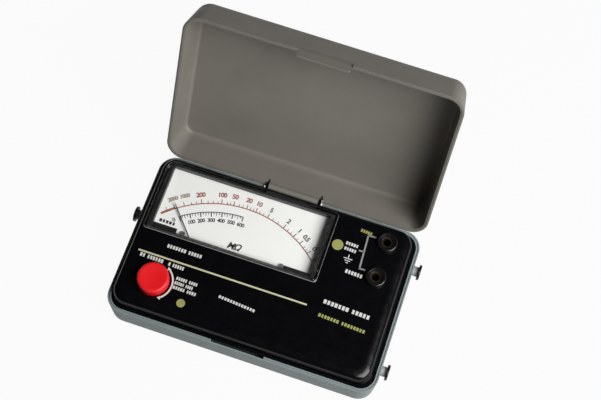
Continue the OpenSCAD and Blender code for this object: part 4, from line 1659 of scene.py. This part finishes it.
@dataclass
class PanelPrint:
    """The printed lines and plain marks on the black panel."""

    level: float = 23.52
    button: Spot = (-48.9, -23.9)
    turn_radius: float = 9.3
    turn_width: float = 0.85
    turn_ends: Spot = (-37.2, -138.8)
    arrow: float = 1.15
    arrows: tuple[Spot, ...] = ((-33, 147), (-143, 217))
    earth: Spot = (36.5, 17.6)
    earth_bars: tuple[Spot, ...] = ((0, 2.2), (1.1, 1.4), (2.2, 0.6))
    earth_stem: float = 2.2
    earth_width: float = 0.45
    white_rows: tuple[Row, ...] = (
        ((-60, -13.2), (-47.8, -13.5), 1.9, (2, 6)),
        ((-45.2, -13.6), (-37, -13.8), 1.8, (1, 5)),
        ((-49, -5.0), (-31, -5.1), 1.8, (7, 5)),
        ((-39, -19.2), (-28, -19.4), 1.6, (5, 4)),
        ((-39, -21.6), (-29.5, -21.8), 1.6, (5, 4)),
        ((-39, -24), (-27, -24.2), 1.6, (5, 4)),
        ((-16.6, -21.2), (2.4, -22.7), 1.4, (13,)),
        ((33, 25.4), (39.5, 25.1), 1.6, (5,)),
        ((33, 22.5), (39.3, 22.2), 1.6, (5,)),
        ((37, 11.3), (46, 10.9), 1.9, (6,)),
        ((31.8, -6.9), (55.6, -7.9), 2.1, (7, 5)),
    )
    bracket: tuple[Line, ...] = (
        ((42.4, 32.6), (43.3, 14.6), 0.8),
        ((42.1, 32.6), (46.4, 32.6), 0.8),
        ((42.9, 14.6), (46.4, 14.6), 0.8),
        ((40.2, 23.5), (42.8, 23.5), 0.7),
    )
    cream_line: Line = ((-61.5, -11.4), (24.9, -11.4), 0.85)
    olive_rows: tuple[Row, ...] = (
        ((31.5, -14.2), (55.5, -15.4), 1.7, (7, 8)),
        ((38, 34.1), (44, 33.6), 1.6, (5,)),
    )
    olive_discs: tuple[tuple[Spot, float], ...] = (((-32.5, -30.5), 2.1), ((29.5, 22.9), 2.8))

    def build(self) -> None:
        """Print the white, grey, cream and olive marks."""
        self.white()
        self.grey()
        self.cream()
        self.olive()

    def white(self) -> None:
        """Print the white marks: the arc beside the button, the rows and the earth sign."""
        ink = Stencil("panel_white_print", self.level)
        ink.arc(self.button, self.turn_radius, self.turn_width, *self.turn_ends)
        for angle, turn in self.arrows:
            spot = Vector(self.button) + way_at(angle) * self.turn_radius
            ink.disc(tuple(spot), self.arrow, 3, turn)
        for row in self.white_rows:
            ink.dashes(*row)
        x, y = self.earth
        for drop, half in self.earth_bars:
            ink.bar((x, y - drop), (2 * half, self.earth_width))
        ink.line((x, y), (x, y + self.earth_stem), self.earth_width)
        ink.finish(PRINT_WHITE, "panel")

    def grey(self) -> None:
        """Print the bracket beside the sockets."""
        ink = Stencil("panel_grey_print", self.level)
        for line in self.bracket:
            ink.line(*line)
        ink.finish(PRINT_GREY, "panel")

    def cream(self) -> None:
        """Print the long cream line."""
        ink = Stencil("panel_cream_print", self.level)
        ink.line(*self.cream_line)
        ink.finish(PRINT_CREAM, "panel")

    def olive(self) -> None:
        """Print the olive rows and discs."""
        ink = Stencil("panel_olive_print", self.level)
        for row in self.olive_rows:
            ink.dashes(*row)
        for centre, radius in self.olive_discs:
            ink.disc(centre, radius, 32)
        ink.finish(PRINT_OLIVE, "panel")


@dataclass
class Studio:
    """The camera, the lamp, the world and the pale floor."""

    azimuth: float = 13.28
    elevation: float = 67.28
    roll: float = 5.6
    focal: float = 1285.69
    distance: float = 631.96
    target: Point = (5.39, 36.71, 30.0)
    frame_width: float = 601
    sensor_width: float = 36
    clip: Spot = (0.01, 100)
    lamp_spot: Point = (540, -160, 570)
    lamp_aim: Point = (0, 20, 20)
    lamp_size: float = 560
    lamp_power: float = 10.4
    sky_strength: float = 0.025
    floor_metres: float = 60
    floor_level: float = -0.05
    floor_tone: float = 0.3
    white_share: float = 0.95

    def build(self) -> None:
        """Set up the view, the lamp, the world and the floor."""
        self.camera()
        self.lamp()
        self.world()
        self.floor()
        bpy.context.scene.view_settings.view_transform = "Standard"

    def camera(self) -> None:
        """Place the camera at the photograph's angle."""
        turn, rise, tilt = (math.radians(a) for a in (self.azimuth, self.elevation, self.roll))
        back = Vector(
            (math.sin(turn) * math.cos(rise), -math.cos(turn) * math.cos(rise), math.sin(rise))
        )
        right = Vector((math.cos(turn), math.sin(turn), 0))
        above = back.cross(right)
        side = right * math.cos(tilt) + above * math.sin(tilt)
        top = above * math.cos(tilt) - right * math.sin(tilt)
        data = bpy.data.cameras.new("camera")
        data.sensor_width = self.sensor_width
        data.lens = self.focal / self.frame_width * self.sensor_width
        data.clip_start, data.clip_end = self.clip
        camera = bpy.data.objects.new("camera", data)
        bpy.context.scene.collection.objects.link(camera)
        axes = Matrix((side, top, back)).transposed()
        spot = Vector(self.target) + back * self.distance
        camera.matrix_world = Matrix.Translation(spot * MM) @ axes.to_4x4()
        bpy.context.scene.camera = camera

    def lamp(self) -> None:
        """Add a square soft lamp that looks at the object."""
        data = bpy.data.lights.new("key", "AREA")
        data.shape, data.size, data.energy = "SQUARE", self.lamp_size * MM, self.lamp_power
        lamp = bpy.data.objects.new("key", data)
        bpy.context.scene.collection.objects.link(lamp)
        place = mm(*self.lamp_spot)
        turn = (mm(*self.lamp_aim) - place).to_track_quat("-Z", "Y")
        lamp.matrix_world = Matrix.Translation(place) @ turn.to_matrix().to_4x4()

    def world(self) -> None:
        """Light the scene all round with a plain pale sky."""
        world = bpy.data.worlds.new("studio")
        world.use_nodes = True
        background = world.node_tree.nodes["Background"]
        background.inputs["Color"].default_value = (1, 1, 1, 1)
        background.inputs["Strength"].default_value = self.sky_strength
        bpy.context.scene.world = world

    def floor(self) -> None:
        """Lay the pale floor, white to the camera but for a share of the shadow."""
        bpy.ops.mesh.primitive_plane_add(
            size=self.floor_metres, location=mm(0, 0, self.floor_level)
        )
        floor = named("floor")
        graph = Graph("floor_white")
        graph.skin.inputs["Base Color"].default_value = (*[self.floor_tone] * 3, 1)
        graph.skin.inputs["Roughness"].default_value = 0.9
        glow = graph.nodes.new("ShaderNodeEmission").outputs["Emission"]
        seen = graph.rays("Is Camera Ray", "Is Glossy Ray", "Is Transmission Ray")
        share = graph.calculate("MULTIPLY", seen)
        share.inputs[1].default_value = self.white_share
        graph.give_way(share.outputs["Value"], glow)
        floor.data.materials.append(graph.material)


def dress_nodes(nodes: dict[str, Piece]) -> None:
    """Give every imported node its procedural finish.

    Args:
        nodes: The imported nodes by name.
    """
    for finish, names in NODE_FINISHES.items():
        for name in names:
            finish.on(nodes[name])


def main() -> None:
    """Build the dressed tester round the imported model."""
    logging.basicConfig(level=logging.INFO, format="%(name)s: %(message)s")
    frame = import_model()
    Studio().build()
    dress_nodes(frame["nodes"])
    for part in (
        Tray(), Lid(), Panel(), Cover(), BezelFeet(), PushButton(), Terminals(), StrapStuds(),
        Dial(), PanelPrint(),
    ):
        part.build()


if __name__ == "__main__":
    main()
